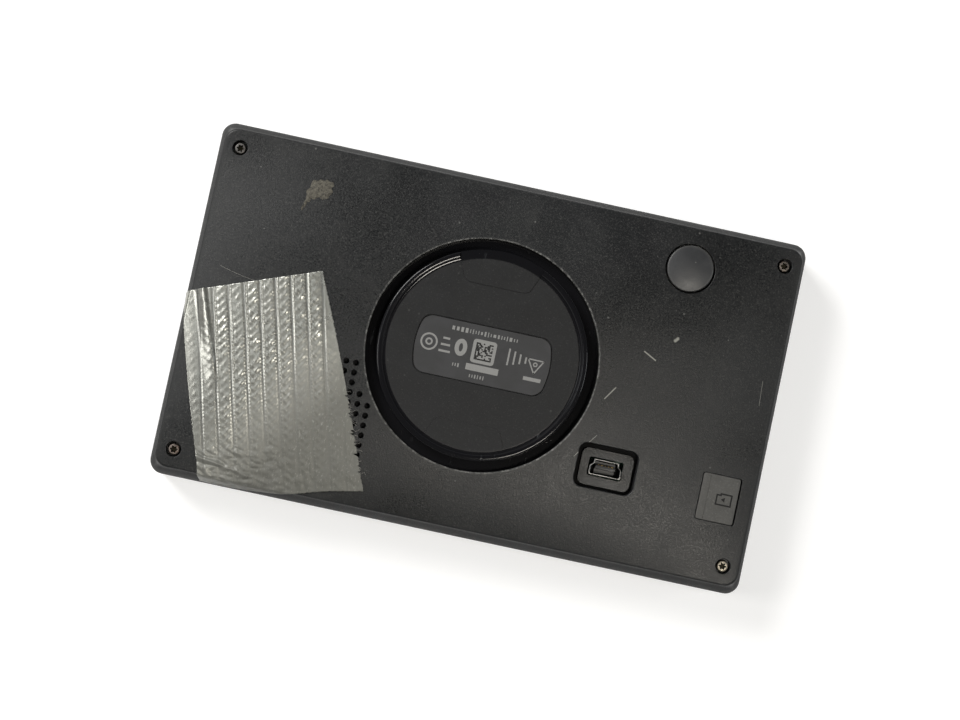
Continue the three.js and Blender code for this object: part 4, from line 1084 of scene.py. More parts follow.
def mount_mesh():
    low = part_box("mount_plate")[0].z
    small = 0.12 * MM
    profile = [
        (0, low), (COLLAR_RADIUS, low), (COLLAR_RADIUS, GROOVE_FLOOR),
        (NECK_RADIUS + 0.56 * MM, GROOVE_FLOOR),
        (NECK_RADIUS + 0.5 * MM, GROOVE_FLOOR),
        (NECK_RADIUS + 0.15 * MM, GROOVE_FLOOR + 0.15 * MM), (NECK_RADIUS, GROOVE_FLOOR + 0.5 * MM),
        (NECK_RADIUS, LIP_TOP - 2.1 * MM), (LIP_RADIUS - small, LIP_TOP - 1.5 * MM),
        (LIP_RADIUS, LIP_TOP - 1.38 * MM), (LIP_RADIUS, LIP_TOP - 0.45 * MM),
    ]
    for i in range(1, 6):
        angle = i / 5 * math.pi / 2
        out = LIP_RADIUS - LIP_ROUND * (1 - math.cos(angle))
        profile.append((out, LIP_TOP - LIP_ROUND * (1 - math.sin(angle))))
    profile += [
        (LIP_INNER + 0.75 * MM, LIP_TOP), (LIP_INNER + 0.55 * MM, LIP_TOP - 0.06 * MM),
        (LIP_INNER + 0.3 * MM, LIP_TOP - 0.3 * MM), (LIP_INNER + 0.12 * MM, DISC_FACE + 0.05 * MM),
        (LIP_INNER - 0.1 * MM, DISC_FACE), (LIP_INNER - 0.16 * MM, DISC_FACE), (0, DISC_FACE),
    ]
    made = lathe(profile, (RING.x, RING.y), 160)
    pad_top = DISC_FACE + 0.2 * MM
    hollow = [(low - MM, 0), (DISC_FACE - 2 * MM, 0)]
    rim_cut = pad_outline(1, pad_top, LIP_TOP + MM, 0.0)
    steps = [("DIFFERENCE", tower(RING, (NECK_RADIUS - 2 * MM,) * 2, hollow, sides=64)),
             ("DIFFERENCE", rim_cut)]
    for side, reach in ((1, LIP_RADIUS - 0.7 * MM), (-1, LIP_INNER + 0.2 * MM)):
        pad = pad_outline(side, DISC_FACE - 0.5 * MM, pad_top, -0.12 * MM)
        disc = tower(RING, (reach,) * 2, [(DISC_FACE - MM, 0), (pad_top + MM, 0)], sides=160)
        steps.append(("UNION", combined(pad, ("INTERSECT", disc))))
    recess = label_outline(0.0, DISC_FACE - LABEL_SUNK, DISC_FACE + 0.12 * MM, 0.18 * MM)
    steps.append(("DIFFERENCE", recess))
    return combined(made, *steps)


def dashes(picker, left, right, y, widths, heights, gap):
    """A row of small upright bars of mixed widths."""
    made = []
    while left < right:
        wide = picker.choice(widths)
        made.append((left + wide / 2, y, wide, picker.choice(heights)))
        left += wide + gap
    return made


def flat_prints():
    """The label's plain bars, in millimetres from the disc's middle: x, y, width, height."""
    picker = random.Random(5)
    bars = dashes(picker, -8.0, 7.4, 4.85, (0.22, 0.4, 0.62), (0.7, 0.9, 1.1), 0.42)
    bars += dashes(picker, -6.3, -4.6, -3.4, (0.22, 0.35), (0.7, 0.9), 0.36)
    bars += dashes(picker, -2.0, 1.6, -5.2, (0.22, 0.3, 0.45), (0.7, 0.9), 0.38)
    bars += [(6.0 + i * 1.35, 0.9, 0.4, 3.9 - i * 0.8) for i in range(4)]
    bars += [(12.3, -3.1, 4.1, 0.85), (0.6, -3.2, 7.6, 1.5)]
    return bars


def print_mesh(level):
    """Every printed mark as a thin raised film of ink."""
    made = bmesh.new()
    film = 0.03 * MM

    def bar(x, y, wide, tall, turn=0.0, base=level, thick=film):
        block = bmesh.ops.create_cube(made, size=1.0)["verts"]
        bmesh.ops.scale(made, vec=(wide * MM, tall * MM, thick), verts=block)
        bmesh.ops.rotate(made, cent=(0, 0, 0), matrix=Matrix.Rotation(turn, 3, "Z"), verts=block)
        place = (RING.x + x * MM, RING.y + y * MM, base + thick / 2)
        bmesh.ops.translate(made, vec=place, verts=block)

    def hoop(x, y, outer_x, outer_y, width):
        ring = bmesh.ops.create_circle(made, cap_ends=False, segments=48, radius=1.0)["verts"]
        edges = list({edge for point in ring for edge in point.link_edges})
        bmesh.ops.scale(made, vec=(outer_x * MM, outer_y * MM, 1), verts=ring)
        inner = bmesh.ops.extrude_edge_only(made, edges=edges)["geom"]
        inner = [item for item in inner if isinstance(item, bmesh.types.BMVert)]
        narrow = ((outer_x - width) / outer_x, (outer_y - width) / outer_y, 1)
        bmesh.ops.scale(made, vec=narrow, verts=inner)
        flat = ring + inner
        bmesh.ops.translate(made, vec=(RING.x + x * MM, RING.y + y * MM, level + film), verts=flat)
        faces = list({face for point in flat for face in point.link_faces})
        bmesh.ops.solidify(made, geom=faces, thickness=film)

    for x, y, wide, tall in flat_prints():
        bar(x, y, wide, tall)
    hoop(-12.6, 0.6, 2.0, 2.0, 0.42)
    hoop(-12.6, 0.6, 0.85, 0.85, 0.4)
    for i in range(3):
        bar(-8.75, 0.6 + (i - 1) * 1.5, 2.7 - 0.55 * i, 0.5)
    hoop(-5.15, 0.75, 1.45, 2.0, 1.0)
    square = tower((RING.x + 0.2 * MM, RING.y + 0.7 * MM), (2.75 * MM, 2.75 * MM),
                   [(level, 0), (level + film, 0)], corner=0.7 * MM, steps=4)
    mesh = bpy.data.meshes.new("square")
    square.to_mesh(mesh)
    square.free()
    made.from_mesh(mesh)
    bpy.data.meshes.remove(mesh)
    for i in range(3):
        turn = 2 * math.pi / 3 * i + math.pi / 2
        bar(12.4 + 1.05 * math.cos(turn), 0.4 + 1.05 * math.sin(turn), 3.9, 0.3, turn + math.pi / 2)
    hoop(12.4, 0.4, 0.55, 0.55, 0.3)
    return made


def code_mesh(level):
    """The dark modules of the label's square code, a random pattern."""
    made = bmesh.new()
    picker = random.Random(11)
    count = 12
    pitch = 4.0 / count
    for row in range(count):
        for column in range(count):
            on_edge = row == 0 or column == 0
            if not on_edge and picker.random() > 0.46:
                continue
            block = bmesh.ops.create_cube(made, size=1.0)["verts"]
            side = pitch * 0.96 * MM
            bmesh.ops.scale(made, vec=(side, side, 0.02 * MM), verts=block)
            x = 0.2 + (column - (count - 1) / 2) * pitch
            y = 0.7 + (row - (count - 1) / 2) * pitch
            place = (RING.x + x * MM, RING.y + y * MM, level + 0.04 * MM)
            bmesh.ops.translate(made, vec=place, verts=block)
    return made


class NAVIGATOR_OT_mount(bpy.types.Operator):
    """Builds the mount plate with its lip and pads, and the printed label"""

    bl_idname = "navigator.mount"
    bl_label = "Mount plate and label"

    def execute(self, context):
        piece("mount_insert", mount_mesh(), mount_finish(),
              replaces=["mount_plate"], crease=25)
        low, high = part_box("id_label")
        label = label_outline(0.22 * MM, low.z, high.z)
        piece("label_plate", label, label_finish(), replaces=["id_label"])
        piece("label_print", print_mesh(high.z), print_finish())
        piece("label_code", code_mesh(high.z), ink_and_groove_shade_finish())
        return {"FINISHED"}


# ---- The power button ----


def button_mesh():
    low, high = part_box("power_button")
    radius = BUTTON_FLANGE - FLANGE_REACH - BUTTON_GAP
    face = high.z - 0.5 * MM
    profile = [(0, low.z), (2.7 * MM, low.z), (2.7 * MM, low.z + 0.4 * MM), (BUTTON_FLANGE, low.z + 0.4 * MM),
               (BUTTON_FLANGE, low.z + MM), (radius, low.z + 1.05 * MM), (radius, face - 0.3 * MM)]
    round_over = 0.3 * MM
    for i in range(1, 5):
        angle = i / 5 * math.pi / 2
        profile.append((radius - round_over * (1 - math.cos(angle)),
                        face - round_over * (1 - math.sin(angle))))
    crown_steps = 10
    inner = radius - round_over
    for i in range(crown_steps + 1):
        share = 1 - i / crown_steps
        profile.append((inner * share, face + 0.5 * MM * (1 - share ** 2)))
    return lathe(profile, (BUTTON.x, BUTTON.y), 96)


class NAVIGATOR_OT_button(bpy.types.Operator):
    """Builds the crowned power button"""

    bl_idname = "navigator.button"
    bl_label = "Power button"

    def execute(self, context):
        piece("button_cap", button_mesh(), button_finish(), body="button",
              replaces=["power_button"])
        return {"FINISHED"}


# ---- The mini-B socket ----


def plug_outline(inset, low, top):
    """The mini-B outline: wide below, stepped in above, with softened corners."""
    half = (box_size("usb_shell").x / 2, box_size("usb_shell").y / 2)
    wide = half[0] - inset
    narrow = half[0] - 0.8 * MM - inset
    tall = half[1] - inset
    made = bmesh.new()
    side = [(wide, -tall), (wide, 0.2 * MM), (narrow, 0.8 * MM), (narrow, tall)]
    points = side + [(-x, y) for x, y in reversed(side)]
    face = made.faces.new([made.verts.new((x, y, low)) for x, y in points])
    bmesh.ops.recalc_face_normals(made, faces=[face])
    bmesh.ops.bevel(made, geom=made.verts[:], offset=0.28 * MM, offset_type="OFFSET", segments=4,
                    profile=0.5, affect="VERTICES", material=-1)
    lifted = bmesh.ops.extrude_face_region(made, geom=made.faces[:], use_keep_orig=True)
    for item in lifted["geom"]:
        if isinstance(item, bmesh.types.BMVert):
            item.co.z = top
    bmesh.ops.translate(made, vec=(USB.x, USB.y, 0), verts=made.verts)
    bmesh.ops.recalc_face_normals(made, faces=made.faces)
    return made


def tongue_parts():
    low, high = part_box("usb_tongue")
    width = high.x - low.x
    middle = (low.y + high.y) / 2 + 0.1 * MM
    body = tower((USB.x, middle), (width / 2, 0.45 * MM), [(low.z, 0), *rounded(high.z, 0.12 * MM, 3)],
                 corner=0.1 * MM, steps=2)
    foot = tower((USB.x, (low.y + high.y) / 2), (width / 2, (high.y - low.y) / 2),
                 [(low.z, 0), (low.z + 0.9 * MM, 0)], corner=0.1 * MM, steps=2)
    contacts = bmesh.new()
    for i in range(5):
        block = bmesh.ops.create_cube(contacts, size=1.0)["verts"]
        bmesh.ops.scale(contacts, vec=(0.34 * MM, 0.16 * MM, high.z - low.z - 1.3 * MM), verts=block)
        spot = (USB.x + (i - 2) * 0.8 * MM, middle + 0.5 * MM, (high.z + low.z) / 2 + 0.35 * MM)
        bmesh.ops.translate(contacts, vec=spot, verts=block)
    edges = [edge for edge in contacts.edges if abs((edge.verts[0].co - edge.verts[1].co).z) < 0.1 * MM]
    bmesh.ops.bevel(contacts, geom=edges, offset=0.05 * MM, offset_type="OFFSET", segments=2, profile=0.5,
                    affect="EDGES", material=-1)
    return combined(body, ("UNION", foot)), contacts


class NAVIGATOR_OT_socket(bpy.types.Operator):
    """Builds the mini-B shell, its tongue and its five contacts"""

    bl_idname = "navigator.socket"
    bl_label = "Mini-B socket"

    def execute(self, context):
        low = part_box("usb_shell")[0].z
        shell = combined(plug_outline(0.0, low, USB_TOP),
                         ("DIFFERENCE", plug_outline(0.3 * MM, low + MM, USB_TOP + MM)))
        rims = [edge for edge in shell.edges
                if all(point.co.z > USB_TOP - 0.01 * MM for point in edge.verts)
                and any(abs(face.normal.z) < 0.5 for face in edge.link_faces)]
        bmesh.ops.bevel(shell, geom=rims, offset=0.07 * MM, offset_type="OFFSET", segments=2, profile=0.5,
                        affect="EDGES", material=-1)
        bright = socket_finish()
        piece("socket_shell", shell, bright, replaces=["usb_shell"])
        tongue, contacts = tongue_parts()
        pale = moulding_finish("tongue_nylon", (0.012, 0.012, 0.0125), 0.35)
        piece("socket_tongue", tongue, pale, replaces=["usb_tongue"])
        gold = steel_finish("contact_gold", (0.72, 0.5, 0.2), 0.22, 0.0)
        piece("socket_contacts", contacts, gold)
        return {"FINISHED"}


# ---- The card flap ----


def flap_mesh():
    """The flap in the cover's flat state, then lifted to follow the dome."""
    flat = settings().edge_height
    low, high = FLAP_LOW, FLAP_HIGH
    middle = ((low.x + high.x - FLAP_SPREAD) / 2, (low.y + high.y) / 2)
    half = ((high.x - low.x + FLAP_SPREAD) / 2, (high.y - low.y) / 2 + FLAP_SPREAD)
    top = flat - 0.1 * MM
    levels = [(top - 1.2 * MM, 0.0), *rounded(top, 0.14 * MM, 3)]
    plate = tower(middle, half, levels, corner=0.5 * MM, steps=5)
    crease_x = low.x + 1.7 * MM
    crease = tower((crease_x, middle[1]), (0.11 * MM, half[1] + MM),
                   [(top - 0.07 * MM, 0), (top + MM, 0.6 * MM)],
                   corner=0.02 * MM, steps=1)
    rib_half = (0.75 * MM, half[1] - 1.2 * MM)
    rib = tower((low.x + 1.3 * MM, middle[1]), rib_half, [(flat - 3.1 * MM, -0.3 * MM), (flat - 2.6 * MM, 0),
                (flat - MM, 0)], corner=0.3 * MM, steps=3)
    made = combined(plate, ("UNION", rib), ("DIFFERENCE", crease))
    bmesh.ops.triangulate(made, faces=made.faces)
    slices(made, 0, spaced(low.x, high.x, 1.2 * MM))
    slices(made, 1, spaced(low.y, high.y, 1.6 * MM))
    follow_dome(made, 12 * MM, 8 * MM)
    return made


def icon_mesh():
    """A card outline with a stepped corner and an arrow head, as thin dark bars: painted shade where the
    sign's engraved lines are.
    """
    made = bmesh.new()
    middle_x = FLAP_LOW.x + 5.65 * MM
    middle_y = (FLAP_LOW.y + FLAP_HIGH.y) / 2
    wide, tall, line = 3.5 * MM, 2.55 * MM, 0.36 * MM
    lift = -0.1 * MM
    outline = [
        (-wide / 2, -tall / 2), (wide / 2, -tall / 2), (wide / 2, tall / 2), (-wide / 2 + 0.9 * MM, tall / 2),
        (-wide / 2 + 0.9 * MM, tall / 2 - 0.35 * MM), (-wide / 2, tall / 2 - 0.35 * MM),
    ]
    for (x0, y0), (x1, y1) in zip(outline, outline[1:] + outline[:1]):
        block = bmesh.ops.create_cube(made, size=1.0)["verts"]
        size = (abs(x1 - x0) + line, abs(y1 - y0) + line, 0.03 * MM)
        bmesh.ops.scale(made, vec=size, verts=block)
        bmesh.ops.translate(made, vec=((x0 + x1) / 2, (y0 + y1) / 2, 0.015 * MM), verts=block)
    arrow = bmesh.ops.create_cone(made, cap_ends=True, segments=3, radius1=0.62 * MM, radius2=0.62 * MM,
                                  depth=0.03 * MM)["verts"]
    bmesh.ops.rotate(made, cent=(0, 0, 0), matrix=Matrix.Rotation(math.pi / 2, 3, "Z"), verts=arrow)
    bmesh.ops.translate(made, vec=(-0.1 * MM, 0, 0.015 * MM), verts=arrow)
    for point in made.verts:
        point.co.x += middle_x
        point.co.y += middle_y
        point.co.z += rear_face(point.co.x, point.co.y) + lift
    return made


class NAVIGATOR_OT_flap(bpy.types.Operator):
    """Builds the soft card flap and its card sign, whose engraved lines are painted dark as shade"""

    bl_idname = "navigator.flap"
    bl_label = "Card flap"

    def execute(self, context):
        piece("flap_cover", flap_mesh(), flap_finish(), body="flap",
              replaces=["card_flap"], crease=40)
        piece("flap_icon", icon_mesh(), ink_and_groove_shade_finish(), body="flap")
        return {"FINISHED"}


# ---- The corner screws ----


def screw_mesh(node):
    low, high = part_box(node)
    spot = (low + high) / 2
    radius = (high.x - low.x) / 2
    seat = high.z - 1.4 * MM
    shank = 0.9 * MM
    profile = [(0, low.z), (shank - 0.3 * MM, low.z), (shank, low.z + 0.5 * MM), (shank, seat),
               (radius - 0.08 * MM, seat), (radius, seat + 0.1 * MM), (radius, high.z - 0.45 * MM)]
    for i in range(1, 6):
        angle = i / 5 * math.pi / 2
        out = radius - 0.4 * MM * (1 - math.cos(angle))
        profile.append((out, high.z - 0.45 * MM * (1 - math.sin(angle))))
    profile.append((0, high.z))
    head = lathe(profile, (spot.x, spot.y), 48)
    lobes = tower((0, 0), (0.7 * MM, 0.7 * MM), [(high.z - 1.2 * MM, -0.08 * MM), (high.z - 0.08 * MM, 0),
                  (high.z + 0.1 * MM, 0.1 * MM)], sides=48)
    for point in lobes.verts:
        angle = math.atan2(point.co.y, point.co.x)
        swell = 1 + 0.2 * math.cos(6 * angle)
        point.co.x *= swell
        point.co.y *= swell
    bmesh.ops.translate(lobes, vec=(spot.x, spot.y, 0), verts=lobes.verts)
    return combined(head, ("DIFFERENCE", lobes))


class NAVIGATOR_OT_screws(bpy.types.Operator):
    """Builds the four six-lobe corner screws"""

    bl_idname = "navigator.screws"
    bl_label = "Corner screws"

    def execute(self, context):
        finishes = [
            ("dark_steel_a", (0.13, 0.125, 0.12), 0.36, 0.1),
            ("dark_steel_b", (0.16, 0.145, 0.13), 0.36, 0.25),
            ("rusted_steel", (0.17, 0.145, 0.13), 0.36, 0.4), ("worn_nickel", (0.46, 0.42, 0.34), 0.38, 0.15),
        ]
        for name, finish in zip(SCREWS, finishes):
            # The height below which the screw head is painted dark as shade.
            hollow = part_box(name)[1].z - 0.12 * MM
            piece(name.replace("cover", "corner"), screw_mesh(name), steel_finish(*finish, hollow),
                  replaces=[name])
        return {"FINISHED"}


# ---- The tape patch ----

TAPE_RIB_TURN = math.radians(14.3)
TAPE_RIB_PITCH = 3.6 * MM
TAPE_LUMP_PITCH = 1.95 * MM
TAPE_LIFT = 0.12 * MM
TAPE_THICK = 0.16 * MM


def tape_corners():
    """The patch's four corners, as cut, from the case's lower left corner."""
    spots = {
        "top_left": (-0.6, 42.1), "top_right": (30.3, 53.4),
        "low_left": (13.5, -1.6), "low_right": (50.1, 5.9),
    }
    return {name: Vector(((x * MM) - HALF_X, (y * MM) - HALF_Y)) for name, (x, y) in spots.items()}


def tape_point(across, along):
    """A place on the flat patch: across from left to right, along from its top to its lower edge."""
    corners = tape_corners()
    left = corners["top_left"].lerp(corners["low_left"], along)
    right = corners["top_right"].lerp(corners["low_right"], along)
    spot = left.lerp(right, across)
    sag = math.sin(math.pi * along)
    spot.x += (0.55 * MM * sag * across ** 2) - 0.5 * MM * sag * (1 - across) ** 2
    left_tail = (1 - across) ** 2 * max(0.0, along - 0.86) / 0.14
    spot.x += -0.8 * MM * left_tail
    lower = max(0.0, along - 0.9) / 0.1
    spot.y += lower * (-2.6 * MM * math.sin(math.pi * min(1.0, across * 1.25)) * (1 - across))
    return spot


def over_edge(x, y):
    """Where a flat place on the patch comes to lie: on the dome, or turned down over the rim."""
    rim_x = HALF_X - LEAN_X
    rim_y = HALF_Y - LEAN_Y
    past_x = max(0.0, -x - rim_x)
    past_y = max(0.0, -y - rim_y)
    height = rear_face(max(x, -rim_x), max(y, -rim_y))
    if past_y > 0:
        turn = min(past_y, 1.2 * MM)
        y = -rim_y - turn * 0.75 - max(0.0, past_y - turn) * 0.35
        height -= turn * turn / (2.4 * MM) + max(0.0, past_y - turn) * 0.9
    if past_x > 0:
        turn = min(past_x, 1.0 * MM)
        x = -rim_x - turn * 0.8 - max(0.0, past_x - turn) * 0.4
        height -= turn * turn / (2.0 * MM) + max(0.0, past_x - turn) * 0.85
    return x, y, height


def tape_relief(x, y, across, along):
    """Height of the film over the cover: ribs with zigzag lumps, pleats, creases and a flat margin."""
    side = x * math.cos(TAPE_RIB_TURN) + y * math.sin(TAPE_RIB_TURN)
    down = -x * math.sin(TAPE_RIB_TURN) + y * math.cos(TAPE_RIB_TURN)
    wander = 0.06 * noise.noise(Vector((side, down, 0)) / (12 * MM))
    place = side / TAPE_RIB_PITCH + wander
    from_middle = (place % 1.0) - 0.5
    number = math.floor(place)
    strength = 0.72 + 0.5 * noise.noise(Vector((number * 3.7, down / (16 * MM), 4)))
    fade = 1.0 - 0.5 * held((along - 0.85 + 0.3 * across) / 0.3) * held(0.35 + across * 1.2)
    fade *= held((1 - across) / 0.1) * held(across / 0.05) * (0.35 + 0.65 * held((across - 0.12) / 0.12))
    drift = noise.noise(Vector((number * 1.3, down / (7 * MM), 9)))
    phase = down / TAPE_LUMP_PITCH + 0.31 * number + 0.5 * drift
    lumps = 0.0
    for row, offset in ((-0.13, 0.0), (0.13, 0.5)):
        size = 0.75 + 0.7 * noise.noise(Vector((number + row, math.floor(phase + offset) * 1.7, 5)))
        along_lump = ((phase + offset) % 1.0) - 0.5 + from_middle * 0.9 * (1 if row < 0 else -1)
        lumps += size * math.exp(-(along_lump / 0.27) ** 2 - ((from_middle - row) / 0.15) ** 2)
    left_welt = math.exp(-((from_middle + 0.35) / 0.05) ** 2)
    welt = left_welt + 0.6 * math.exp(-((from_middle - 0.37) / 0.045) ** 2)
    welt *= 0.75 + 0.25 * math.cos(2 * math.pi * down / (0.8 * MM))
    plateau = held((0.4 - abs(from_middle)) / 0.12)
    height = fade * strength * MM * (0.14 * plateau + 0.2 * lumps + 0.24 * welt)
    crumple = noise.fractal(Vector((x, y, 0)) / (2.4 * MM), 0.9, 2.2, 4)
    height += (0.03 + 0.05 * held((along - 0.8) / 0.15)) * MM * crumple
    pleat = across - 0.13 - 0.04 * along
    rise, fall = held((pleat + 0.05) / 0.08), held((0.055 - pleat) / 0.025)
    height += 0.9 * MM * rise * fall * held((0.6 - along) / 0.5)
    crushed = held((along - 0.76) / 0.08) * held((0.7 - across) / 0.3)
    height += 0.55 * MM * crushed * abs(noise.noise(Vector((x / (3.4 * MM), y / (1.7 * MM), 3))))
    fold = (y + HALF_Y - 5.4 * MM) + 0.16 * (x + HALF_X - 14 * MM)
    height += 0.3 * MM * math.exp(-(fold / (0.4 * MM)) ** 2) * held(1.1 - across * 1.7)
    tucks = noise.noise(Vector((side / (2.1 * MM), down / (9 * MM), 2)))
    height += 0.2 * MM * abs(tucks) * held((along - 0.82) / 0.1)
    height += 0.1 * MM * (0.5 + 0.5 * noise.noise(Vector((x, y, 7)) / (10 * MM)))
    return max(0.0, height)


def held(share):
    """A share kept between 0 and 1, eased at both ends."""
    share = max(0.0, min(1.0, share))
    return share * share * (3 - 2 * share)


def tape_mesh():
    columns = 220
    rows = 260
    made = bmesh.new()
    bmesh.ops.create_grid(made, x_segments=columns, y_segments=rows, size=0.5)
    for point in made.verts:
        across = point.co.x + 0.5
        along = 0.5 - point.co.y
        edge = min(across, 1 - across)
        ragged = 0.22 * MM * noise.noise(Vector((0, along * 90, across * 3)))
        if across > 0.9:
            torn = held((along - 0.5) / 0.1) * held((0.97 - along) / 0.08)
            ragged -= 2.4 * MM * torn * max(0.0, noise.noise(Vector((3, along * 75, 1))))
        spot = tape_point(across, along)
        spot.x += ragged * max(0.0, 1 - edge * 12)
        near_end = max(0.0, 1 - min(along, 1 - along) * 12)
        spot.y += 0.12 * MM * noise.noise(Vector((across * 60, 5, 0))) * near_end
        relief = tape_relief(spot.x, spot.y, across, along)
        x, y, height = over_edge(spot.x, spot.y)
        point.co = (x, y, height + TAPE_LIFT + relief)
    bmesh.ops.recalc_face_normals(made, faces=made.faces)
    if sum(face.normal.z for face in made.faces) < 0:
        bmesh.ops.reverse_faces(made, faces=made.faces)
    return made


def loose_threads():
    """Short frayed threads along the patch's right edge, and a pale hair beside its top edge."""
    picker = random.Random(21)
    runs = []
    for i in range(16):
        along = 0.55 + 0.36 * i / 15 + picker.uniform(-0.008, 0.008)
        start = tape_point(1.0, along)
        heading = picker.uniform(-0.7, 0.25)
        length = picker.uniform(0.5, 1.5) * MM
        points = []
        for step in range(5):
            share = step / 4
            bend = heading + share * picker.uniform(-0.5, 0.5)
            x = start.x - 0.2 * MM + length * share * math.cos(bend)
            y = start.y + length * share * math.sin(bend)
            points.append((x, y, rear_face(x, y) + 0.12 * MM + 0.15 * MM * (1 - share)))
        runs.append((points, 0.035 * MM))
    hair = []
    for step in range(15):
        share = step / 14
        x = -63.2 * MM + 9.6 * MM * share
        y = 7.9 * MM - 1.9 * MM * math.sin(share * 1.35)
        hair.append((x, y, rear_face(x, y) + 0.06 * MM + 0.1 * MM * math.sin(share * 3.1)))
    runs.append((hair, 0.03 * MM))
    return runs


def thread_mesh():
    made = bmesh.new()
    for points, radius in loose_threads():
        rings = []
        for i, point in enumerate(points):
            before = Vector(points[max(0, i - 1)])
            after = Vector(points[min(len(points) - 1, i + 1)])
            heading = (after - before).normalized()
            turn = heading.to_track_quat("Z", "Y").to_matrix()
            closed = i in (0, len(points) - 1)
            ring = bmesh.ops.create_circle(made, cap_ends=closed, segments=6, radius=radius)["verts"]
            bmesh.ops.rotate(made, cent=(0, 0, 0), matrix=turn, verts=ring)
            bmesh.ops.translate(made, vec=point, verts=ring)
            rings.append(ring)
        for first, second in zip(rings, rings[1:]):
            edges = {edge for ring in (first, second) for point in ring for edge in point.link_edges
                     if all(end in ring for end in edge.verts)}
            bmesh.ops.bridge_loops(made, edges=list(edges))
    bmesh.ops.recalc_face_normals(made, faces=made.faces)
    return made


class NAVIGATOR_OT_tape(bpy.types.Operator):
    """Builds the ribbed tape patch and its loose threads"""

    bl_idname = "navigator.tape"
    bl_label = "Tape patch"

    def execute(self, context):
        tape = piece("tape_patch", tape_mesh(), tape_finish(), replaces=["duct_tape"], crease=80)
        body = tape.modifiers.new("film", "SOLIDIFY")
        body.thickness = TAPE_THICK
        body.offset = -1.0
        threads = piece("tape_threads", thread_mesh(), thread_finish(), crease=80)
        return {"FINISHED"}


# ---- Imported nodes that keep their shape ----


class NAVIGATOR_OT_finishes(bpy.types.Operator):
    """Gives the screen, board, battery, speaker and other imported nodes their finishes"""

    bl_idname = "navigator.finishes"
    bl_label = "Finishes of the inside"

    def execute(self, context):
        finishes = node_finishes()
        for row in frame["record"]["subparts"]:
            finish = finishes.get(row["material_slot"])
            node = frame["nodes"].get(row["node"])
            if finish is None or node is None:
                continue
            if not node.material_slots:
                node.data.materials.append(finish)
            for slot in node.material_slots:
                slot.material = finish
        return {"FINISHED"}


# ---- The studio ----

CAMERA_FOOT = (-12.4 * MM, -26.6 * MM)
CAMERA_HEIGHT = 500 * MM
CAMERA_AIM = (-0.05 * MM, -0.5 * MM, 12 * MM)
CAMERA_ROLL = math.radians(-12.07)
CAMERA_LENS = 78.54


def soft_lamp(name, spot, aim, size, power, colour=(1, 1, 1)):
    lamp = bpy.data.lights.new(name, "AREA")
    lamp.shape = "RECTANGLE"
    lamp.size, lamp.size_y = size
    lamp.energy = power
    lamp.color = colour
    item = bpy.data.objects.new(name, lamp)
    item.location = spot
    item.rotation_euler = (Vector(aim) - Vector(spot)).to_track_quat("-Z", "Y").to_euler()
    bpy.context.collection.objects.link(item)
    return item


LAMP_DISTANCE = 0.9
STUDIO_LAMPS = (
    ("key", (-0.8, 0.6, 0.85), (0.34, 0.4), 0.88, (1, 0.99, 0.97)),
    ("left", (-0.9, -0.1, 0.9), (0.24, 0.34), 0.2, (1, 0.99, 0.97)),
    ("upper_left", (-0.31, 0.08, 1.0), (0.14, 0.24), 0.024, (0.95, 0.99, 1)),
    ("lower_right", (0.2, -0.2, 1.0), (0.16, 0.14), 0.3, (1, 0.95, 0.86)),
    ("side", (1.0, 0.1, 0.6), (0.3, 0.3), 0.2, (0.95, 0.98, 1)),
)


def studio_world():
    """A dark ceiling over a bright horizon."""
    world = bpy.data.worlds.new("studio")
    world.use_nodes = True
    tree = world.node_tree
    place = tree.nodes.new("ShaderNodeTexCoord")
    parts = tree.nodes.new("ShaderNodeSeparateXYZ")
    ramp = tree.nodes.new("ShaderNodeValToRGB")
    ramp.color_ramp.elements[0].position = 0.05
    ramp.color_ramp.elements[0].color = (0.75, 0.75, 0.75, 1)
    ramp.color_ramp.elements[1].position = 0.2
    ramp.color_ramp.elements[1].color = (0.012, 0.0125, 0.0135, 1)
    tree.links.new(place.outputs["Generated"], parts.inputs[0])
    tree.links.new(parts.outputs["Z"], ramp.inputs["Fac"])
    tree.links.new(ramp.outputs["Color"], tree.nodes["Background"].inputs["Color"])
    return world


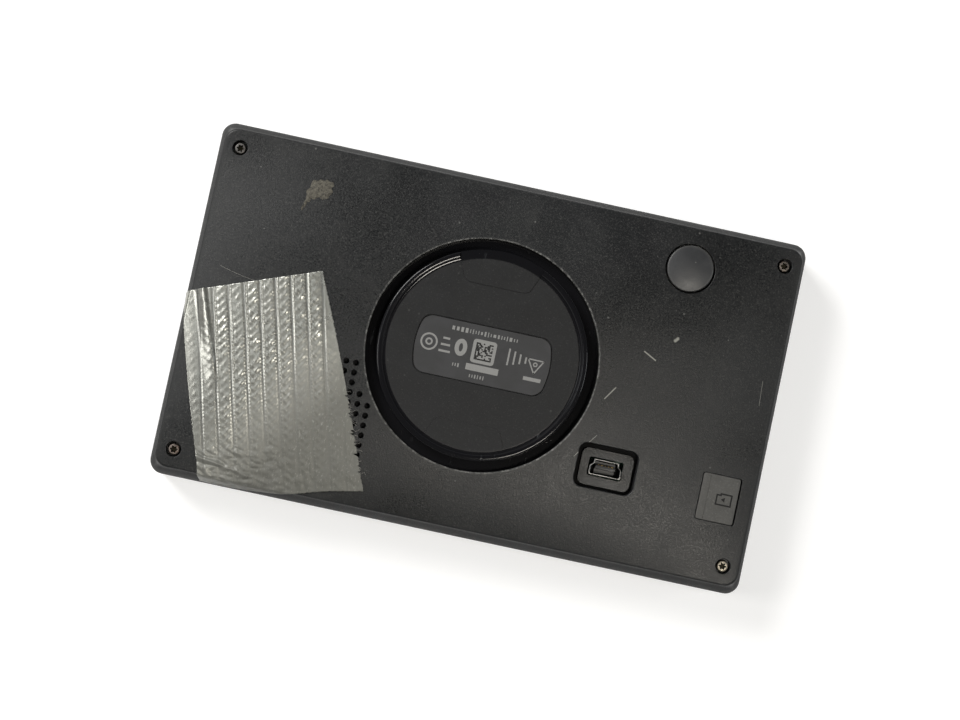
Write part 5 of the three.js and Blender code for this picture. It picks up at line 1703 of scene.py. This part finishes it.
class NAVIGATOR_OT_stage(bpy.types.Operator):
    """Adds the pale floor, the soft lamps and the camera"""

    bl_idname = "navigator.stage"
    bl_label = "Studio"

    def execute(self, context):
        scene = context.scene
        floor_mesh = bpy.data.meshes.new("floor")
        made = bmesh.new()
        bmesh.ops.create_grid(made, x_segments=1, y_segments=1, size=3.0)
        made.to_mesh(floor_mesh)
        made.free()
        floor = bpy.data.objects.new("floor", floor_mesh)
        floor.location.z = -0.05 * MM
        pale = bpy.data.materials.new("pale_floor")
        pale.use_nodes = True
        paper = pale.node_tree.nodes["Principled BSDF"]
        paper.inputs["Base Color"].default_value = (0.6, 0.6, 0.6, 1)
        paper.inputs["Roughness"].default_value = 0.9
        paper.inputs["Specular IOR Level"].default_value = 0.1
        paper.inputs["Emission Color"].default_value = (1, 1, 1, 1)
        paper.inputs["Emission Strength"].default_value = 0.5
        floor_mesh.materials.append(pale)
        context.collection.objects.link(floor)

        scene.world = studio_world()
        own = settings()
        for name, direction, size, power, colour in STUDIO_LAMPS:
            spot = Vector(direction).normalized() * LAMP_DISTANCE
            soft_lamp(name, spot, (0, 0, 0), size, power * own.lamp_power, colour)
        scene.view_settings.view_transform = "Standard"

        eye = Vector((*CAMERA_FOOT, CAMERA_HEIGHT))
        forward = (Vector(CAMERA_AIM) - eye).normalized()
        upward = Vector((math.sin(CAMERA_ROLL), math.cos(CAMERA_ROLL), 0))
        right = forward.cross(upward).normalized()
        above = right.cross(forward)
        lens = bpy.data.cameras.new("camera")
        lens.lens = CAMERA_LENS
        lens.clip_start = 0.01
        camera = bpy.data.objects.new("camera", lens)
        turn = Matrix((right, above, -forward)).transposed()
        camera.matrix_world = Matrix.Translation(eye) @ turn.to_4x4()
        context.collection.objects.link(camera)
        scene.camera = camera
        return {"FINISHED"}


class NAVIGATOR_PT_panel(bpy.types.Panel):
    """The navigator's settings and its building steps"""

    bl_idname = "NAVIGATOR_PT_panel"
    bl_label = "Navigator"
    bl_space_type = "VIEW_3D"
    bl_region_type = "UI"
    bl_category = "Navigator"

    def draw(self, context):
        for name in NavigatorSettings.__annotations__:
            self.layout.prop(context.scene.navigator, name)
        for step in STEPS:
            self.layout.operator(step.bl_idname)


STEPS = (
    NAVIGATOR_OT_stage, NAVIGATOR_OT_finishes, NAVIGATOR_OT_cover, NAVIGATOR_OT_bezel, NAVIGATOR_OT_mount,
    NAVIGATOR_OT_button, NAVIGATOR_OT_socket, NAVIGATOR_OT_flap, NAVIGATOR_OT_screws, NAVIGATOR_OT_tape,
)
CLASSES = (NavigatorSettings, *STEPS, NAVIGATOR_PT_panel)


def register():
    for item in CLASSES:
        bpy.utils.register_class(item)
    bpy.types.Scene.navigator = PointerProperty(type=NavigatorSettings)


def unregister():
    del bpy.types.Scene.navigator
    for item in reversed(CLASSES):
        bpy.utils.unregister_class(item)


def main():
    register()
    for step in STEPS:
        group, name = step.bl_idname.split(".")
        getattr(getattr(bpy.ops, group), name)()


if __name__ == "__main__":
    main()
